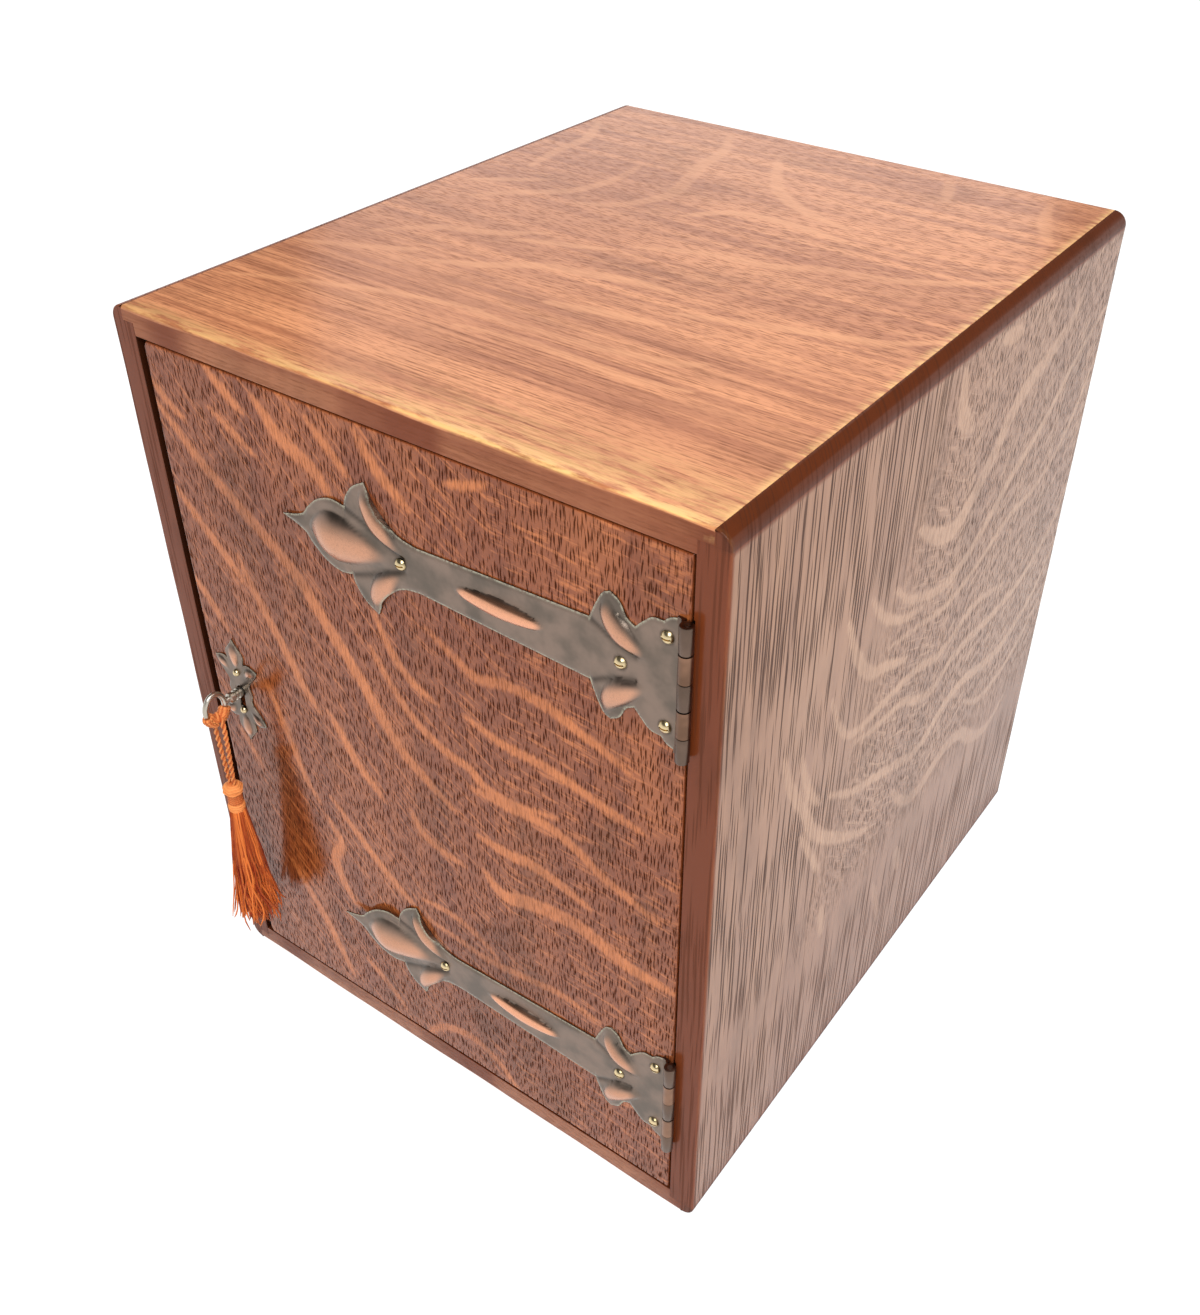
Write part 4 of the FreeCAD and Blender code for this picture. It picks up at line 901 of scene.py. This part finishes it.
# Strap hinges. s runs from the hinge axis along the strap, w up from its middle.
# The runs of the half outline meet in cusps.
strap = dict(
    sheet=0.9, start=1.9, step=0.8, across=57, turned=0.4,
    edge=(((160.3, 0.15), (155, 1.6), (150.6, 3.6), (147.6, 7.2), (142.5, 11.6), (136.5, 13.7), (131, 13)),
          ((131, 13), (129.4, 17.4), (126, 21.8), (120.8, 25)),
          ((120.8, 25), (118, 18.8), (112.8, 12.8), (107.4, 9.7), (101, 8.5)),
          ((101, 8.5), (34.3, 11.3)),
          ((34.3, 11.3), (32.2, 16.4), (29.6, 21.4), (27, 23)),
          ((27, 23), (23.6, 20.8), (21.2, 16.4), (18.4, 14.5)),
          ((18.4, 14.5), (15.6, 17.6), (12.6, 20.2), (8.8, 20.6)),
          ((8.8, 20.6), (7, 22.4), (4.4, 23.4), (0.6, 23.6))),
    bulb=((148.5, 0, -0.3), (146, 0, 0.7), (141, 0, 3.1), (136, 0, 4.0), (129, 0, 3.1), (120, 0, 1.4),
          (108.5, 0, -0.2)),
    spindle=((88.5, 0, -1.5), (84, 0, 0.6), (78, 0, 1.75), (68, 0, 2.4), (58, 0, 1.75), (52, 0, 0.6),
             (47.5, 0, -1.5)),
    frontPetal=((106.5, 3.6, 0.1), (111.5, 6.8, 1.3), (116.4, 11.8, 2.3), (120, 17.4, 1.7),
                (121.6, 22.4, 0.1)),
    rearPetal=((13.5, 5.6, 0.1), (18, 7.6, 1.4), (23.2, 10.8, 2.3), (26.8, 15.4, 1.7), (27.8, 20.6, 0.1)),
    sinks=dict(bulb=9.5, spindle=1.5, petal=3.0),
    grooves=(((130, 12.4), (122, 9.4), (114, 5.4), (107, 2.4)),
             ((33, 10.8), (29, 8.6), (24, 6.2), (18, 4.4))),
    screws=((108, 0), (23, 0), (7.2, 16), (7.2, -16)), lift=dict(upper=0.6, lower=2.6),
    barrel=2.2, around=28, pitch=9.76, gap=0.3, doorKnuckles=(0, 2, 4),
    fillet=((4.2, 0.85), (3.2, 1.0), (2.5, 1.4), (2.1, 2.0), (1.7, 2.7), (1.7, 0.1), (4.2, 0.1)),
    knuckleMarks=dict(copper=0.12, shadepatina=0.5, edge=0.0),
)


# Round ridge: a circle of radius sink + rise about a centre that lies sink below the sheet,
# with the rise read along the line
def ridge(s, w, line, sink):
    line = lineThrough(line, 8)
    distance, nearest, share = nearestOnLine(s, w, line[:, :2])
    rise = line[nearest, 2] + share * np.diff(line[:, 2])[nearest]
    return np.sqrt(np.maximum((sink + rise) ** 2 - distance ** 2, 0)) - sink


# Height over the door: the sheet, its ridges, the pressed grooves beside them and the rim turned down
def strapHeight(s, w, toEdge):
    high = np.abs(w)
    raised = np.maximum(ridge(s, w, strap["bulb"], strap["sinks"]["bulb"]),
                        ridge(s, w, strap["spindle"], strap["sinks"]["spindle"]))
    for petal in ("frontPetal", "rearPetal"):
        raised = np.maximum(raised, ridge(s, high, strap[petal], strap["sinks"]["petal"]))
    groove = np.zeros(s.shape)
    for line in strap["grooves"]:
        away = nearestOnLine(s, high, lineThrough(line, 6))[0]
        groove = np.maximum(groove, np.exp(-(away / 1.1) ** 2))
    raised = np.maximum(raised, 0)
    height = strap["sheet"] + raised - 0.3 * groove * (raised < 1.2)
    return height - strap["turned"] * (1 - smoothStep(0, 1.8, toEdge)), raised, groove


# One knuckle: a turned barrel with eased ends, and the fillet of sheet that runs up to it
def knuckleParts(index, middle):
    low = middle - hinge["half"] + index * strap["pitch"] + strap["gap"] / 2
    high = low + strap["pitch"] - strap["gap"]
    r = strap["barrel"]
    up = np.array([low, low, low + 0.12, low + 0.4, high - 0.4, high - 0.12, high, high])
    reach = np.array([0.4, r - 0.4, r - 0.12, r, r, r - 0.12, r - 0.4, 0.4])
    barrel = spun(reach[:, None], circle(strap["around"]), up[:, None]) + (hinge["x"], hinge["y"], 0)
    return barrel.reshape(-1, 3), tubeFaces(*barrel.shape[:2], flip=True), (low, high)


def buildStrap(name, middle, lift, replaces):
    outline = cuspedLine(strap["edge"], 10)
    regular = np.arange(strap["start"], outline[0, 0], strap["step"])
    along = np.unique(np.round(np.concatenate([outline[:, 0], regular]), 2))
    along = along[along >= strap["start"]][::-1]
    half = np.interp(along, outline[::-1, 0], outline[::-1, 1])
    share = np.sin(np.linspace(-math.pi / 2, math.pi / 2, strap["across"]))
    s = np.repeat(along[:, None], strap["across"], 1)
    w = half[:, None] * share
    slope = np.abs(np.gradient(half, along))[:, None]
    toEdge = (half[:, None] - np.abs(w)) / np.sqrt(1 + slope ** 2)
    height, raised, groove = strapHeight(s, w, toEdge)
    nearStep = 0.25
    above, below = (strapHeight(s, w + step, toEdge)[1] for step in (nearStep, -nearStep))
    upSlope = (below - above) / (2 * nearStep)
    bent = lift * smoothStep(105, 160, s) ** 1.5
    skins = [np.stack([hinge["x"] - s, middle + w, -front + rise + bent], -1) for rise in (height, 0)]
    points = [np.concatenate(skins).reshape(-1, 3) @ np.array(frontAxes, float)]
    rows, cols = s.shape
    faces = boardFaces(rows, cols)
    # bright copper on the relief: rubbed wear, with painted highlight on slopes that face down
    rubbedAndGlint = smoothStep(0.4, 1.7, raised) * (0.1 + 0.9 * smoothStep(0.75, 0.0, upSlope))
    onSpindle = (s > 45) & (s < 92)
    rubbedAndGlint = np.where(onSpindle, smoothStep(0.2, 1.2, raised), 0.66 * rubbedAndGlint)
    # painted shade: slopes that face up and the pressed grooves go dark, less on the spindle, and a dark ring
    # round each screw
    shadepatina = np.maximum(smoothStep(0.6, 1.3, upSlope) * (raised > 0.05), 0.7 * groove) * 0.93
    shadepatina = np.where(onSpindle, 0.3 * shadepatina, shadepatina)
    rim = 1 - smoothStep(0.1, 0.9, toEdge)
    screwed = np.min([np.hypot(s - a, w - b) for a, b in strap["screws"]], axis=0)
    shadepatina = np.maximum(shadepatina, 0.6 * smoothStep(3.0, 2.1, screwed))
    flat = np.zeros(rows * cols)
    marks = {key: [values.ravel(), flat] for key, values in dict(copper=rubbedAndGlint, shadepatina=shadepatina, edge=rim).items()}
    first = 2 * rows * cols
    fillet = np.array(strap["fillet"])
    for index in strap["doorKnuckles"]:
        barrel, barrelFaces, (low, high) = knuckleParts(index, middle)
        ends = [np.column_stack([hinge["x"] - fillet[:, 0], front - fillet[:, 1], np.full(len(fillet), z)])
                for z in (low, high)]
        for part, partFaces in ((barrel, barrelFaces), (np.concatenate(ends), tubeFaces(2, len(fillet)))):
            points.append(part)
            faces += [f + first for f in partFaces]
            for key, amount in strap["knuckleMarks"].items():
                marks[key].append(np.full(len(part), amount))
            first += len(part)
    marks = {key: np.concatenate(values) for key, values in marks.items()}
    makePiece(name, "door", np.concatenate(points), faces, bySlot["dark_copper"], [replaces],
              marks, sharp=40)


buildStrap("upperStrap", hinge["heights"][0], strap["lift"]["upper"], "upper_strap_hinge")
buildStrap("lowerStrap", hinge["heights"][1], strap["lift"]["lower"], "lower_strap_hinge")

# Escutcheon: a ring of lines from the keyhole to the outline,
# both read as radius over angle about the key's axis
plate = dict(
    sheet=0.8, rows=26, around=264, turned=0.3, sink=3.0,
    edge=(((0, 25), (1.6, 22.4), (4.7, 18.6)), ((4.7, 18.6), (4.6, 16.2), (4.05, 14.2)),
          ((4.05, 14.2), (7.2, 14.9), (11.4, 13.4)), ((11.4, 13.4), (9.4, 9.6), (5.6, 4.6), (6.4, 0))),
    tip=((23.6, 0, -0.1), (19, 0, 1.0), (14.5, 0, 0.7), (11, 0, -0.1)),
    wing=((9, 4.4, 0.05), (11.8, 7.4, 0.7), (13, 10, 0.05)),
    hole=dict(radius=2.4, half=1.5, reach=7.8),
)


def buildEscutcheon():
    quarter = cuspedLine(plate["edge"], 8)
    bearing = np.arctan2(quarter[:, 1], quarter[:, 0])[::-1]
    reach = np.hypot(quarter[:, 0], quarter[:, 1])[::-1]
    angle = circle(plate["around"])
    folded = np.arctan2(np.abs(np.sin(angle)), np.abs(np.cos(angle)))
    outer = np.interp(folded, bearing, reach)
    hole = plate["hole"]
    across, upright = (np.maximum(np.abs(part), 1e-6) for part in (np.cos(angle), np.sin(angle)))
    slot = np.minimum(hole["half"] / across, hole["reach"] / upright)
    inner = np.where(np.sin(angle) < 0, np.maximum(hole["radius"], slot), hole["radius"])
    share = np.linspace(0, 1, plate["rows"])[:, None]
    radius = inner + (outer - inner) * share
    x, z = radius * np.cos(angle), radius * np.sin(angle)

    def raisedAt(x, z):
        high = np.maximum(ridge(np.abs(z), x, plate["tip"], plate["sink"]), 0)
        return np.maximum(high, ridge(np.abs(z), np.abs(x), plate["wing"], plate["sink"]))

    raised = raisedAt(x, z)
    nearStep = 0.2
    upSlope = (raisedAt(x, z - nearStep) - raisedAt(x, z + nearStep)) / (2 * nearStep)
    toEdge = np.minimum(outer - radius, radius - inner)
    height = plate["sheet"] + raised - plate["turned"] * (1 - smoothStep(0, 0.8, toEdge))
    bare = np.zeros((2, plate["around"]))
    x, z = (np.concatenate([v, v[-1:], v[:1]]) for v in (x, z))
    points = np.stack([lock["keyX"] + x, front - np.concatenate([height, bare]), lock["keyZ"] + z], -1)
    # bright copper on the relief with painted highlight on slopes that face down, painted shade on slopes
    # that face up, and a pale worn rim
    marks = dict(copper=0.75 * smoothStep(0.1, 0.6, raised) * (0.4 + 0.6 * smoothStep(0.2, -0.2, upSlope)),
                 shadepatina=0.8 * smoothStep(0.1, 0.4, upSlope),
                 edge=0.8 * (1 - smoothStep(0.05, 0.6, outer - radius)))
    marks = {key: np.concatenate([values, bare]) for key, values in marks.items()}
    faces = [gridFaces(plate["rows"] + 2, plate["around"], wrapRows=True, wrapCols=True)]
    makePiece("escutcheonPlate", "door", points, faces, bySlot["dark_copper"], ["escutcheon"],
              marks)


buildEscutcheon()

# The other pieces show their own solids, with a material by slot
bySlot["oak_inside"] = oakMaterials["inside"]
for subpart in frame["record"]["subparts"]:
    node = frame["nodes"][subpart["node"]]
    if subpart["material_slot"] in bySlot:
        node.data.materials.clear()
        node.data.materials.append(bySlot[subpart["material_slot"]])
print("stage: metals")
